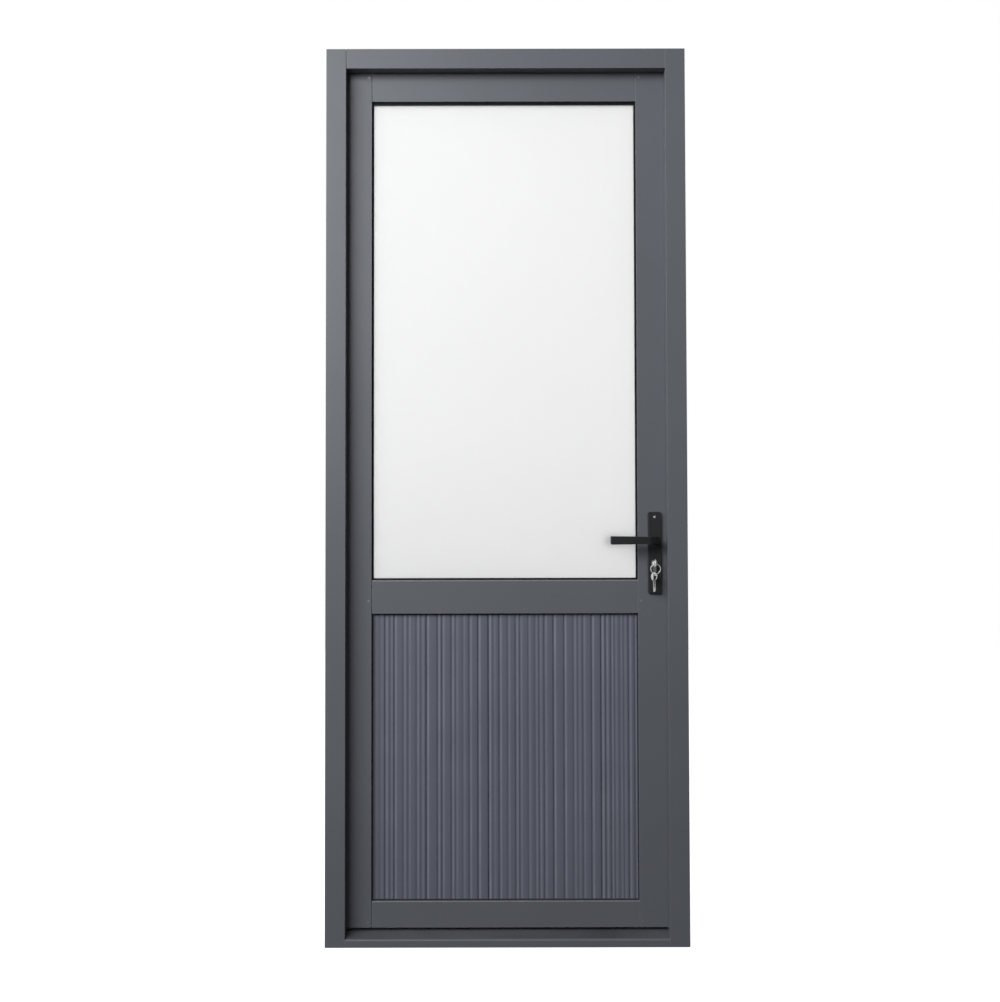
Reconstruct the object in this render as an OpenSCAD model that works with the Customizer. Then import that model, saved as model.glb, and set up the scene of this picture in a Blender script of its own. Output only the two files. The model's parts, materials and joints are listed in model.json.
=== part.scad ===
// Half-glazed aluminium door in its own frame, hinged on the left as seen from outside.
// The leaf opens inwards. Millimetres. X runs to the right as seen from outside, Y runs inwards and
// Z runs up.
// The origin is the centre of the sill's underside.

/* [Frame] */
// Width over the two jambs
frame_w = 966; // [760:1:1300]
// Height from the sill's underside to the top of the head
frame_h = 2400; // [1950:1:2900]
// Depth of the frame through the wall
frame_depth = 86; // [80:1:120]
// Width of the frame's face
frame_face = 53; // [48:1:80]
// Depth of the outer part of the frame, which the leaf closes against
stop_depth = 36; // [28:1:50]
// Wall of every hollow section
wall = 2; // [1.6:0.1:2.6]
// Diameter of the holes for the screws into the building
fixing_d = 6.5; // [5:0.5:10]
// Distance of the outer fixings from the ends of the jambs
fixing_inset = 120; // [80:1:160]
// Distance between the two inner fixings of a jamb
fixing_spacing = 800; // [500:10:900]

/* [Sill] */
// Height of the sill's upright nose
sill_nose_h = 19; // [12:1:24]
// Bevel between the nose and the sloped top
sill_bevel = 3.5; // [3:0.5:8]
// Height of the sill under the leaf
sill_h = 33; // [28:1:45]

/* [Leaf] */
// Overlap of the leaf behind the frame's face
overlap = 18; // [14:1:20]
// Gap between the leaf's edge and the frame
edge_gap = 6; // [5:0.5:8]
// Gap between the frame's stop and the leaf, which the seal fills
seal_gap = 4; // [3:0.5:6]
// Gap between the sill and the leaf
foot_gap = 8; // [6:0.5:12]
// Width of the stile on the hinge side
hinge_stile_w = 84; // [76:1:110]
// Width of the stile that holds the lock
lock_stile_w = 94; // [90:1:120]
// Height of the top rail
top_rail_h = 95; // [80:1:130]
// Height of the middle rail
mid_rail_h = 90; // [76:1:130]
// Height of the bottom rail
bottom_rail_h = 70; // [64:1:160]
// Height of the middle rail's lower edge above the base
mid_rail_z = 878; // [600:1:1000]
// Width of the lip that holds the glass and the panel
lip_w = 18; // [15:0.5:20]
// Thickness of that lip
lip_t = 8; // [6:0.5:9]

/* [Glass and panel] */
// Thickness of the glass
glass_t = 6; // [4:0.5:10]
// Cover of the lip over the glass or the panel's edge
bite = 12; // [9:0.5:13]
// Thickness of the gaskets once pressed
gasket_t = 3; // [2:0.5:4]
// Width of gasket that shows past the lip
gasket_sight = 3.5; // [2:0.5:5]
// Thickness of the reeded boards
board_t = 14; // [12:0.5:16]
// Depth of the grooves between the reeds
reed_depth = 2; // [1:0.1:2.5]
// Width that one board covers
board_cover = 304; // [200:1:400]
// Distance from the middle of the door to the first joint between boards
board_joint_x = -50; // [-90:1:0]
// Bevel on the inner edge of the glazing beads
bead_bevel = 6; // [2:0.5:8]

/* [Hinges] */
// Height of a hinge
hinge_h = 110; // [90:1:140]
// Distance from the leaf's end to the middle of the nearest hinge
hinge_inset = 200; // [150:1:300]
// Radius of the hinge knuckle
knuckle_r = 8; // [7:0.5:10]
// Diameter of the hinge pin
hinge_pin_d = 8; // [6:0.5:9]
// Width of each hinge wing, from the pin's axis
wing_w = 30; // [26:1:34]
// Thickness of the hinge wings
wing_t = 4; // [3:0.5:5]

/* [Handle] */
// Height of the lever's axis above the base
handle_z = 1074; // [1020:1:1100]
// Distance from the leaf's edge to the lever's axis
backset = 50; // [44:1:56]
// Distance from the lever's axis down to the key's axis
key_drop = 62; // [60:1:85]
// Height of the handle plates
plate_h = 220; // [200:1:260]
// Width of the handle plates
plate_w = 36; // [32:1:44]
// Thickness of the handle plates
plate_t = 9; // [7:0.5:11]
// Height of the plates above the lever's axis
plate_rise = 77; // [65:1:90]
// Length of the lever from its axis to its tip
lever_len = 122; // [100:1:140]
// Height of the lever at its tip
lever_tip_h = 22.5; // [18:0.5:26]
// Height of the lever at its root
lever_root_h = 19; // [16:0.5:22]
// Distance from the leaf's face to the front of the lever
lever_reach = 58; // [54:1:70]
// Thickness of the lever's arm
lever_t = 12; // [9:0.5:14]
// Radius of the lever's neck
neck_r = 10; // [8:0.5:12]
// Side of the square spindle
spindle_side = 8; // [7:0.5:10]

/* [Lock] */
// Width of the lock's faceplate
faceplate_w = 22; // [20:1:26]
// Height of the lock's faceplate
faceplate_h = 202; // [190:1:260]
// Thickness of the lock's faceplate
faceplate_t = 2; // [1.5:0.5:2.5]
// Reach of the latch beyond the faceplate
latch_reach = 12; // [10:0.5:13]
// Height of the latch bolt
latch_h = 24; // [20:1:26]
// Height of the deadbolt
deadbolt_h = 22; // [18:1:24]
// Thickness of the latch and the deadbolt
bolt_t = 12; // [10:0.5:13]
// Radius of the keyed plug
plug_r = 6.5; // [6:0.1:7]
// Length of the key's blade
blade_len = 30; // [26:1:34]
// Radius of the key's bow
bow_r = 11; // [9:0.5:12]
// Mean radius of the key ring
ring_r = 13; // [12:0.5:16]

/* [Hidden] */
$fn = 48;

// Fits
cut = 1;           // how far a cutter runs past what it cuts
slip = 0.3;        // gap between bodies that move past each other
run = 0.05;        // radial gap of a pin or plug that turns
loose = 0.2;       // gap around a part slid into a hollow section
thread = 0.05;     // radial gap around a screw in its hole

// Depths: Y of each plane through the door
y_front = -frame_depth / 2;
y_back = frame_depth / 2;
y_stop = y_front + stop_depth;
y_leaf = y_stop + seal_gap;
y_mid = (y_leaf + y_back) / 2;
leaf_t = y_back - y_leaf;
y_lip = y_leaf + lip_t;
y_pane = y_lip + gasket_t;
y_glass_bead = y_pane + glass_t + gasket_t;
y_board_back = y_pane + board_t;
y_panel_bead = y_board_back + gasket_t;

// Widths: half distances from the middle of the door
half_w = frame_w / 2;
half_stop = half_w - frame_face;
half_leaf = half_stop + overlap;
half_rebate = half_leaf + edge_gap;
rebate_face = half_w - half_rebate;
open_x0 = -half_leaf + hinge_stile_w;
open_x1 = half_leaf - lock_stile_w;
pocket_x0 = open_x0 - lip_w;
pocket_x1 = open_x1 + lip_w;

// Heights
sill_front_h = sill_nose_h + sill_bevel;
leaf_z0 = sill_h + foot_gap;
leaf_z1 = frame_h - frame_face + overlap;
head_z = frame_h - frame_face;
head_rebate_z = frame_h - rebate_face;
panel_z0 = leaf_z0 + bottom_rail_h;
panel_z1 = mid_rail_z;
glass_z0 = mid_rail_z + mid_rail_h;
glass_z1 = leaf_z1 - top_rail_h;

// Seal between the frame and the leaf
seal_u = frame_face - overlap / 2;
seal_r = seal_gap - slip;
seal_stem = 3;
seal_barb = 5;
seal_barb_t = 1.2;

// Corner cleats and their screws
cleat_len = 40;
frame_screw_r = 2.5;
frame_screw_len = 34;
frame_screw_head_r = 4.5;
frame_screw_head_t = 3;
access_r = 6;
frame_screw_ys = [y_stop + 10, y_back - 12];
rail_cleat_len = 34;
cleat_pin_r = 2;
cleat_pin_head_r = 3.2;
cleat_pin_head_t = 1.4;
cleat_pin_len = 24;
cleat_pin_dx = 8;
cleat_pin_top = 29;
cleat_pin_mid = 34;
cleat_pin_foot = 15;

// Glazing
bead_wall = 1.6;
gasket_cover = 8;
block_len = 100;
block_t = 10;
board_rib = 2;
board_rib_pitch = 38;
board_skin = 2.3;
board_lap = 20;
board_lap_t = 6;
board_gap = 0.4;
reed_w = [12, 15, 14, 10, 9, 11, 12, 22, 19, 11, 13, 14, 11, 13, 16, 11, 14, 12, 14, 11, 12, 13, 15];
reed_steps = [-0.9, -0.72, -0.4, 0, 0.4, 0.72, 0.9];

// Bottom seal
foot_seal_base_w = 12;
foot_seal_base_t = 3;
foot_seal_blade_t = 3;
foot_seal_inset = 2;

// Hinges
hinge_x = -(half_leaf + half_rebate) / 2;
hinge_y = y_back + knuckle_r;
hinge_zs = [leaf_z0 + hinge_inset, (leaf_z0 + leaf_z1) / 2, leaf_z1 - hinge_inset];
hinge_pin_r = hinge_pin_d / 2;
bush_wall = 1.6;
bush_r = hinge_pin_r + run + bush_wall;
knuckle_mid = 37;
bush_flange_t = 1.2;
knuckle_split = knuckle_mid / 2 + bush_flange_t + slip;
wing_clear = 0.5;
wing_screw_r = 2.1;
wing_screw_len = 16;
wing_screw_head_r = 4.2;
wing_screw_head_t = 2.1;
wing_screw_zs = [-hinge_h / 2 + 15, 0, hinge_h / 2 - 15];
wing_screw_x = (wing_w + knuckle_r + wing_clear) / 2;
pin_cap_r = 6;
pin_cap_t = 2.5;

// Handle
handle_x = half_leaf - backset;
key_z = handle_z - key_drop;
plate_z1 = handle_z + plate_rise;
plate_z0 = plate_z1 - plate_h;
plate_y = y_leaf - plate_t;
plate_corner = 5;
plate_wall = 2.5;
plate_boss_r = 6;
plate_screw_inset = 14;
plate_screw_r = 2;
plate_screw_head_r = 3.6;
plate_screw_head_t = 1.8;
plate_screw_len = 13;
lever_heel = 11;
lever_corner = 5;
lever_edge = 2;
arm_y0 = y_leaf - lever_reach;
arm_y1 = arm_y0 + lever_t;
neck_y1 = y_leaf - 1.5;
grub_r = 2;
grub_len = 5;
grub_y = arm_y1 + 14;

// Lock
case_t = 18;
case_wall = 2;
case_x0 = pocket_x1 + wall + 1;
case_z0 = key_z - 40;
case_z1 = handle_z + 36;
follower_r = 11;
journal_r = 9;
lug_top = 21;
lug_half = 2.5;
lug_t = 6;
latch_back = 12;
latch_z0 = handle_z - latch_h / 2;
latch_tail_t = 6;
latch_tail_z = handle_z + 24;
latch_hook_w = 4;
latch_hook_drop = 8.5;
spring_r = 3.5;
spring_wire_r = 0.6;
spring_turns = 8;
spring_dz = 17.5;
spring_post_x = handle_x + lug_half + 1;
spring_post_t = 2;
spring_sides = 6;
spring_steps = 12;
deadbolt_len = 38.5;
deadbolt_z0 = key_z + 18;
cylinder_r = 8.5;
cylinder_leg_w = 10;
cylinder_h = 33;
cylinder_proud = 2;
cam_half = 5.1;
cam_r = 15;
cam_lug_half = 3;
bridge_h = 8.5;
lock_screw_r = 2.5;
lock_screw_head_r = 4.5;
lock_screw_head_t = 2;
lock_screw_inset = 12;
faceplate_z0 = (case_z0 + case_z1) / 2 - faceplate_h / 2;
faceplate_z1 = faceplate_z0 + faceplate_h;
bolt_gap = 0.4;

// Strike
strike_t = 1.5;
strike_w = 30;
strike_y0 = y_mid - strike_w / 2;
strike_z0 = deadbolt_z0 - 40;
strike_z1 = handle_z + latch_h / 2 + 24;
strike_gap = 1.5;
strike_screw_inset = 11;
strike_screw_r = 2;
strike_screw_head_r = 3.7;
strike_screw_len = 18;

// Key
key_t = 2.4;
key_hole_r = 3;
key_hole_inset = 5;
blade_h = 8;
bitting = [2, 3, 1.5, 2.6, 1.4];
key_gap = 0.2;
plug_y0 = plate_y - cylinder_proud - 1;
bow_y1 = plug_y0 - 2;
key_hole_y = bow_y1 - 2 * bow_r + key_hole_inset;
ring_wire_r = 1.1;
ring_z = key_z - key_hole_r + slip + ring_wire_r - ring_r;
spare_turn = 20;
spare_hole_z = ring_z - ring_r + ring_wire_r + slip - key_hole_r;

// Colours
slate = [0.36, 0.38, 0.41];
slate_panel = [0.34, 0.35, 0.39];
black = [0.06, 0.06, 0.07];
handle_black = [0.13, 0.13, 0.14];
steel = [0.72, 0.72, 0.73];
brass = [0.76, 0.66, 0.42];
milk = [0.93, 0.94, 0.94];
grey_plastic = [0.55, 0.55, 0.56];

// ---------- shapes that repeat ----------

// A box given by its limits
module block(x0, x1, y0, y1, z0, z1) translate([x0, y0, z0]) cube([x1 - x0, y1 - y0, z1 - z0]);

// A round bar along Z, Y or X
module rod_z(x, y, r, z0, z1) translate([x, y, z0]) cylinder(h = z1 - z0, r = r);
module rod_y(x, z, r, y0, y1) translate([x, y0, z]) rotate([-90, 0, 0]) cylinder(h = y1 - y0, r = r);
module rod_x(y, z, r, x0, x1) translate([x0, y, z]) rotate([0, 90, 0]) cylinder(h = x1 - x0, r = r);

// A cone along Y, wide end at y_wide
module cone_y(x, z, r_wide, r_thin, y_wide, y_thin) {
    translate([x, y_wide, z]) rotate([y_thin > y_wide ? -90 : 90, 0, 0])
        cylinder(h = abs(y_thin - y_wide), r1 = r_wide, r2 = r_thin);
}

// A cone along X, wide end at x_wide
module cone_x(y, z, r_wide, r_thin, x_wide, x_thin) {
    translate([x_wide, y, z]) rotate([0, x_thin > x_wide ? 90 : -90, 0])
        cylinder(h = abs(x_thin - x_wide), r1 = r_wide, r2 = r_thin);
}

// An outline in Y and Z drawn out along X
module level(x0, x1) translate([x0, 0, 0]) rotate([90, 0, 90]) linear_extrude(x1 - x0) children();

// An outline in X and Z drawn out along Y
module through(y0, y1) translate([0, y1, 0]) rotate([90, 0, 0]) linear_extrude(y1 - y0) children();

// What is on the inside face, as the mirror image of what is on the outside face
module inside() translate([0, 2 * y_mid, 0]) mirror([0, 1, 0]) children();

// A rectangular ring around an opening, from `out` outside its edge to `in` inside it
module ring(x0, x1, z0, z1, out, in, y0, y1) {
    difference() {
        block(x0 - out, x1 + out, y0, y1, z0 - out, z1 + out);
        block(x0 + in, x1 - in, y0 - cut, y1 + cut, z0 + in, z1 - in);
    }
}

// A rectangle with round corners, centred on x and running from z0 to z1
module round_plate(x, w, z0, z1, r) {
    translate([x - w / 2 + r, z0]) square([w - 2 * r, z1 - z0]);
    translate([x - w / 2, z0 + r]) square([w, z1 - z0 - 2 * r]);
    for (cx = [x - w / 2 + r, x + w / 2 - r], cz = [z0 + r, z1 - r]) translate([cx, cz]) circle(r);
}

// Points of an arc about c
function arc(c, r, a0, a1,
    n = 6) = [for (i = [0 : n]) c + r * [cos(a0 + (a1 - a0) * i / n), sin(a0 + (a1 - a0) * i / n)]];

// ---------- sections ----------

// Frame section: u runs from the outer edge towards the opening, then Y
module frame_section() {
    difference() {
        polygon([
            [0, y_front], [frame_face, y_front], [frame_face, y_stop],
            [rebate_face, y_stop], [rebate_face, y_back], [0, y_back]
        ]);
        translate([wall, y_front + wall]) square([frame_face - 2 * wall, stop_depth - 2 * wall]);
        translate([wall, y_stop]) square([rebate_face - 2 * wall, y_back - y_stop - wall]);
        translate([seal_u - seal_stem / 2, y_stop - wall - cut]) square([seal_stem, wall + 2 * cut]);
    }
}

// Height of the sill's sloped top at y
function sill_top(y) = sill_front_h
    + (sill_h - sill_front_h) * (y - y_front - sill_bevel) / (stop_depth - sill_bevel);

// Sill section in Y and Z
module sill_section() {
    difference() {
        polygon([
            [y_front, 0], [y_front, sill_nose_h], [y_front + sill_bevel, sill_front_h],
            [y_stop, sill_h], [y_back, sill_h], [y_back, 0]
        ]);
        polygon([
            [y_front + wall, wall], [y_front + wall, sill_nose_h - wall / 2],
            [y_front + sill_bevel + wall / 2, sill_top(y_front + sill_bevel) - wall],
            [y_stop - wall, sill_top(y_stop - wall) - wall], [y_stop - wall, wall]
        ]);
        translate([y_stop, wall]) square([y_back - y_stop - wall, sill_h - 2 * wall]);
    }
}

// Leaf section: u runs from the outer edge, or from the lower lip of the middle rail, then Y
module sash_section(face_w, two_lips = false) {
    body_u0 = two_lips ? lip_w : 0;
    body_u1 = face_w - lip_w;
    difference() {
        union() {
            translate([body_u0, y_leaf]) square([body_u1 - body_u0, leaf_t]);
            translate([0, y_leaf]) square([face_w, lip_t]);
        }
        translate([body_u0 + wall, y_leaf + wall])
            square([body_u1 - body_u0 - 2 * wall, leaf_t - 2 * wall]);
        translate([body_u1, y_leaf + wall]) square([lip_w - wall, lip_t - 2 * wall]);
        if (two_lips) translate([wall, y_leaf + wall]) square([lip_w - wall, lip_t - 2 * wall]);
    }
}

// Seal between the frame and the leaf: a bulb, a stem in the slot and a barb behind it
module seal_section() {
    intersection() {
        translate([seal_u, y_stop]) circle(seal_r);
        translate([seal_u - seal_r, y_stop]) square([2 * seal_r, seal_r]);
    }
    translate([seal_u - seal_stem / 2, y_stop - wall]) square([seal_stem, wall]);
    translate([seal_u - seal_barb / 2, y_stop - wall - seal_barb_t]) square([seal_barb, seal_barb_t]);
}

// Glazing bead: u runs from the frame it clips to towards the opening, then its depth
module bead_section(y0) {
    depth = y_back - y0;
    translate([0, y0]) difference() {
        polygon([[0, 0], [lip_w, 0], [lip_w, depth - bead_bevel], [lip_w - bead_bevel, depth], [0, depth]]);
        polygon([
            [bead_wall, bead_wall], [lip_w - bead_wall, bead_wall],
            [lip_w - bead_wall, depth - bead_bevel - bead_wall / 2],
            [lip_w - bead_bevel - bead_wall / 2, depth - bead_wall], [bead_wall, depth - bead_wall]
        ]);
    }
}

// Turns a section drawn as u and Y into Y and Z, with u running down from z or up from z
module hang(z) translate([0, z]) rotate(-90) children();
module stand(z) translate([0, z]) mirror([0, 1]) rotate(-90) children();

// ---------- the frame ----------

// Screw positions at the frame's corners: [y, z]
corner_holes = [
    for (z = [sill_h / 2, frame_h - rebate_face / 2], y = frame_screw_ys) [y, z]
];

module jamb() {
    difference() {
        translate([-half_w, 0, 0]) linear_extrude(frame_h) frame_section();
        for (p = corner_holes) {
            rod_x(p[0], p[1], access_r, -half_w - cut, -half_w + wall + cut);
            rod_x(p[0], p[1], frame_screw_r + thread, -half_rebate - wall - cut, -half_rebate + cut);
        }
        for (z = [fixing_inset, frame_h / 2 - fixing_spacing / 2, frame_h / 2 + fixing_spacing / 2,
            frame_h - fixing_inset])
            rod_x((y_stop + y_back) / 2, z, fixing_d / 2, -half_w - cut, -half_rebate + cut);
    }
}

module jamb_hinge_side() {
    color(slate) difference() {
        jamb();
        for (z = hinge_zs, dz = wing_screw_zs)
            rod_y(hinge_x - wing_screw_x, z + dz, wing_screw_r + thread, y_back - wall - cut, y_back + cut);
    }
}

module jamb_lock_side() {
    color(slate) difference() {
        mirror([1, 0, 0]) jamb();
        block(half_rebate - cut, half_rebate + wall + cut, y_mid - bolt_t / 2 - 2 * strike_gap,
            y_mid + bolt_t / 2 + 2 * strike_gap, latch_z0 - 2 * strike_gap,
                latch_z0 + latch_h + 2 * strike_gap);
        block(half_rebate - cut, half_rebate + wall + cut, y_mid - bolt_t / 2 - 2 * strike_gap,
            y_mid + bolt_t / 2 + 2 * strike_gap, deadbolt_z0 - 2 * strike_gap,
                deadbolt_z0 + deadbolt_h + 2 * strike_gap);
        for (z = [strike_z0 + strike_screw_inset, strike_z1 - strike_screw_inset])
            rod_x(y_mid, z, strike_screw_r + thread, half_rebate - cut, half_rebate + wall + cut);
    }
}

// Runs a frame section between the jambs, cut back where their stops pass in front
module between_jambs() {
    difference() {
        level(-half_rebate, half_rebate) children();
        for (side = [-1, 1])
            block(min(side * half_stop, side * (half_rebate + cut)), max(side * half_stop,
                side * (half_rebate + cut)),
                y_front - cut, y_stop, -cut, frame_h + cut);
    }
}

module head() { color(slate) between_jambs() hang(frame_h) frame_section(); }

module sill() { color(slate) between_jambs() sill_section(); }

// Blocks inside the ends of the head and the sill, which the corner screws bite
module frame_cleats() {
    color(steel) for (zs = [[wall, sill_h - wall], [head_rebate_z + wall, frame_h - wall]], side = [-1, 1])
        difference() {
            block(side < 0 ? -half_rebate : half_rebate - cleat_len,
                side < 0 ? -half_rebate + cleat_len : half_rebate,
                y_stop + loose, y_back - wall - loose, zs[0] + loose, zs[1] - loose);
            for (y = frame_screw_ys)
                rod_x(y, (zs[0] + zs[1]) / 2, frame_screw_r + thread, -half_w, half_w);
        }
}

module frame_screws() {
    color(steel) for (p = corner_holes, side = [-1, 1]) mirror([side > 0 ? 1 : 0, 0, 0]) {
        rod_x(p[0], p[1], frame_screw_r, -half_rebate - wall - frame_screw_head_t,
            -half_rebate - wall + frame_screw_len);
        rod_x(p[0], p[1], frame_screw_head_r, -half_rebate - wall - frame_screw_head_t,
            -half_rebate - wall);
    }
}

// One run of seal cut in three: up each jamb and along the head
module weatherseal() {
    color(black) {
        for (side = [0, 1]) mirror([side, 0, 0]) translate([-half_w, 0, sill_h + slip])
            linear_extrude(frame_h - seal_u + seal_r - sill_h - slip) seal_section();
        difference() {
            level(-half_w + seal_u + seal_r, half_w - seal_u - seal_r) hang(frame_h) seal_section();
            for (side = [0, 1]) mirror([side, 0, 0])
                block(-half_rebate, -half_stop, y_front, y_stop, head_z, frame_h);
        }
    }
}

module strike_plate() {
    color(steel) difference() {
        block(half_rebate - strike_t, half_rebate, strike_y0, strike_y0 + strike_w, strike_z0, strike_z1);
        block(half_rebate - strike_t - cut, half_rebate + cut, y_mid - bolt_t / 2 - strike_gap,
            y_mid + bolt_t / 2 + strike_gap, latch_z0 - strike_gap, latch_z0 + latch_h + strike_gap);
        block(half_rebate - strike_t - cut, half_rebate + cut, y_mid - bolt_t / 2 - strike_gap,
            y_mid + bolt_t / 2 + strike_gap, deadbolt_z0 - strike_gap,
                deadbolt_z0 + deadbolt_h + strike_gap);
        for (z = [strike_z0 + strike_screw_inset, strike_z1 - strike_screw_inset]) {
            rod_x(y_mid, z, strike_screw_r + thread, half_rebate - strike_t - cut, half_rebate + cut);
            cone_x(y_mid, z, strike_screw_head_r + thread, strike_screw_r + thread,
                half_rebate - strike_t, half_rebate);
        }
    }
}

module strike_screws() {
    color(steel) for (z = [strike_z0 + strike_screw_inset, strike_z1 - strike_screw_inset]) {
        rod_x(y_mid, z, strike_screw_r, half_rebate - strike_t, half_rebate - strike_t + strike_screw_len);
        cone_x(y_mid, z, strike_screw_head_r, strike_screw_r, half_rebate - strike_t, half_rebate);
    }
}

// ---------- hinges ----------

// Countersunk hole through a wing
module wing_hole(x, z) {
    rod_y(x, z, wing_screw_r + thread, y_back - cut, y_back + wing_t + cut);
    cone_y(x, z, wing_screw_head_r + thread, wing_screw_r + thread, y_back + wing_t,
        y_back + wing_t - wing_screw_head_t);
}

module hinge_frame_wing(z) {
    color(slate) difference() {
        union() {
            for (s = [-1, 1]) translate([0, 0, z]) mirror([0, 0, s < 0 ? 1 : 0]) {
                rod_z(hinge_x, hinge_y, knuckle_r, knuckle_split, hinge_h / 2);
                block(hinge_x - wing_w, hinge_x, y_back, y_back + wing_t, knuckle_split, hinge_h / 2);
            }
            block(hinge_x - wing_w, hinge_x - knuckle_r - wing_clear, y_back, y_back + wing_t,
                z - knuckle_split, z + knuckle_split);
        }
        rod_z(hinge_x, hinge_y, hinge_pin_r, z - hinge_h / 2 - cut, z + hinge_h / 2 + cut);
        for (dz = wing_screw_zs) wing_hole(hinge_x - wing_screw_x, z + dz);
    }
}

module hinge_leaf_wing(z) {
    color(slate) difference() {
        union() {
            rod_z(hinge_x, hinge_y, knuckle_r, z - knuckle_mid / 2, z + knuckle_mid / 2);
            block(hinge_x, hinge_x + wing_w, y_back, y_back + wing_t, z - knuckle_mid / 2,
                z + knuckle_mid / 2);
            block(hinge_x + knuckle_r + wing_clear, hinge_x + wing_w, y_back, y_back + wing_t,
                z - hinge_h / 2, z + hinge_h / 2);
        }
        rod_z(hinge_x, hinge_y, bush_r, z - knuckle_mid, z + knuckle_mid);
        for (dz = wing_screw_zs) wing_hole(hinge_x + wing_screw_x, z + dz);
    }
}

module hinge_frame_wing_1() { hinge_frame_wing(hinge_zs[0]); }
module hinge_frame_wing_2() { hinge_frame_wing(hinge_zs[1]); }
module hinge_frame_wing_3() { hinge_frame_wing(hinge_zs[2]); }
module hinge_leaf_wing_1() { hinge_leaf_wing(hinge_zs[0]); }
module hinge_leaf_wing_2() { hinge_leaf_wing(hinge_zs[1]); }
module hinge_leaf_wing_3() { hinge_leaf_wing(hinge_zs[2]); }

module hinge_pins() {
    color(steel) for (z = hinge_zs) {
        rod_z(hinge_x, hinge_y, hinge_pin_r, z - hinge_h / 2, z + hinge_h / 2);
        rod_z(hinge_x, hinge_y, pin_cap_r, z + hinge_h / 2, z + hinge_h / 2 + pin_cap_t);
        rod_z(hinge_x, hinge_y, pin_cap_r, z - hinge_h / 2 - pin_cap_t, z - hinge_h / 2);
    }
}

// Two flanged sleeves in each leaf knuckle
module hinge_bushes() {
    color(grey_plastic) for (z = hinge_zs, s = [0, 1]) translate([0, 0, z]) mirror([0, 0, s]) difference() {
        union() {
            rod_z(hinge_x, hinge_y, bush_r, 0, knuckle_mid / 2);
            rod_z(hinge_x, hinge_y, knuckle_r - slip, knuckle_mid / 2, knuckle_mid / 2 + bush_flange_t);
        }
        rod_z(hinge_x, hinge_y, hinge_pin_r + run, -cut, knuckle_mid);
    }
}

module wing_screws(x) {
    for (z = hinge_zs, dz = wing_screw_zs) {
        rod_y(x, z + dz, wing_screw_r, y_back + wing_t - wing_screw_len, y_back + wing_t);
        cone_y(x, z + dz, wing_screw_head_r, wing_screw_r, y_back + wing_t,
            y_back + wing_t - wing_screw_head_t);
    }
}

module hinge_frame_screws() { color(steel) wing_screws(hinge_x - wing_screw_x); }
module hinge_leaf_screws() { color(steel) wing_screws(hinge_x + wing_screw_x); }

// ---------- the leaf ----------

// Height of each cleat pin: bottom, middle and top rail
cleat_pin_zs = [leaf_z0 + cleat_pin_foot, mid_rail_z + cleat_pin_mid, leaf_z1 - cleat_pin_top];

// Holes in a stile's lip for the cleat pins
module lip_holes(x) {
    for (z = cleat_pin_zs) {
        rod_y(x, z, cleat_pin_r + thread, y_leaf - cut, y_lip + cut);
        cone_y(x, z, cleat_pin_head_r + thread, cleat_pin_r + thread, y_leaf, y_leaf + cleat_pin_head_t);
    }
}

module stile(face_w) translate([-half_leaf, 0, leaf_z0]) linear_extrude(leaf_z1 - leaf_z0)
    sash_section(face_w);

module stile_hinge_side() {
    color(slate) difference() {
        stile(hinge_stile_w);
        lip_holes(open_x0 - cleat_pin_dx);
        for (z = hinge_zs, dz = wing_screw_zs)
            rod_y(hinge_x + wing_screw_x, z + dz, wing_screw_r + thread, y_back - wall - cut, y_back + cut);
    }
}

// Outline of the key cylinder in X and Z, grown by `more`
module cylinder_outline(more = 0) {
    translate([handle_x, key_z]) circle(cylinder_r + more);
    translate([handle_x - cylinder_leg_w / 2 - more, key_z + cylinder_r - cylinder_h + cylinder_leg_w / 2])
        square([cylinder_leg_w + 2 * more, cylinder_h - cylinder_r - cylinder_leg_w / 2]);
    translate([handle_x, key_z + cylinder_r - cylinder_h + cylinder_leg_w / 2])
        circle(cylinder_leg_w / 2 + more);
}

module stile_lock_side() {
    color(slate) difference() {
        mirror([1, 0, 0]) stile(lock_stile_w);
        lip_holes(open_x1 + cleat_pin_dx);
        rod_y(handle_x, handle_z, neck_r + 2, y_leaf - cut, y_back + cut);
        through(y_leaf - cut, y_back + cut) cylinder_outline(1);
        block(half_leaf - wall - cut, half_leaf + cut, y_mid - case_t / 2 - bolt_gap,
            y_mid + case_t / 2 + bolt_gap,
            case_z0 - bolt_gap, case_z1 + bolt_gap);
        for (z = [faceplate_z0 + lock_screw_inset, faceplate_z1 - lock_screw_inset])
            rod_x(y_mid, z, lock_screw_r + thread, half_leaf - wall - cut, half_leaf + cut);
        for (z = [plate_z0 + plate_screw_inset, plate_z1 - plate_screw_inset])
            rod_y(handle_x, z, plate_screw_r + thread, y_leaf - cut, y_back + cut);
    }
}

// Runs a rail between the stiles, cut back where their lips pass in front
module between_stiles() {
    difference() {
        level(pocket_x0, pocket_x1) children();
        block(pocket_x0 - cut, open_x0, y_leaf - cut, y_lip, 0, frame_h);
        block(open_x1, pocket_x1 + cut, y_leaf - cut, y_lip, 0, frame_h);
    }
}

module top_rail() { color(slate) between_stiles() hang(leaf_z1) sash_section(top_rail_h); }
module mid_rail() { color(slate) between_stiles() stand(mid_rail_z) sash_section(mid_rail_h,
    two_lips = true); }
module bottom_rail() { color(slate) between_stiles() stand(leaf_z0) sash_section(bottom_rail_h); }

// Body of each rail, bottom to top: [lower limit, upper limit]
rail_bodies = [
    [leaf_z0, panel_z0 - lip_w],
    [mid_rail_z + lip_w, glass_z0 - lip_w],
    [glass_z1 + lip_w, leaf_z1]
];

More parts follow.
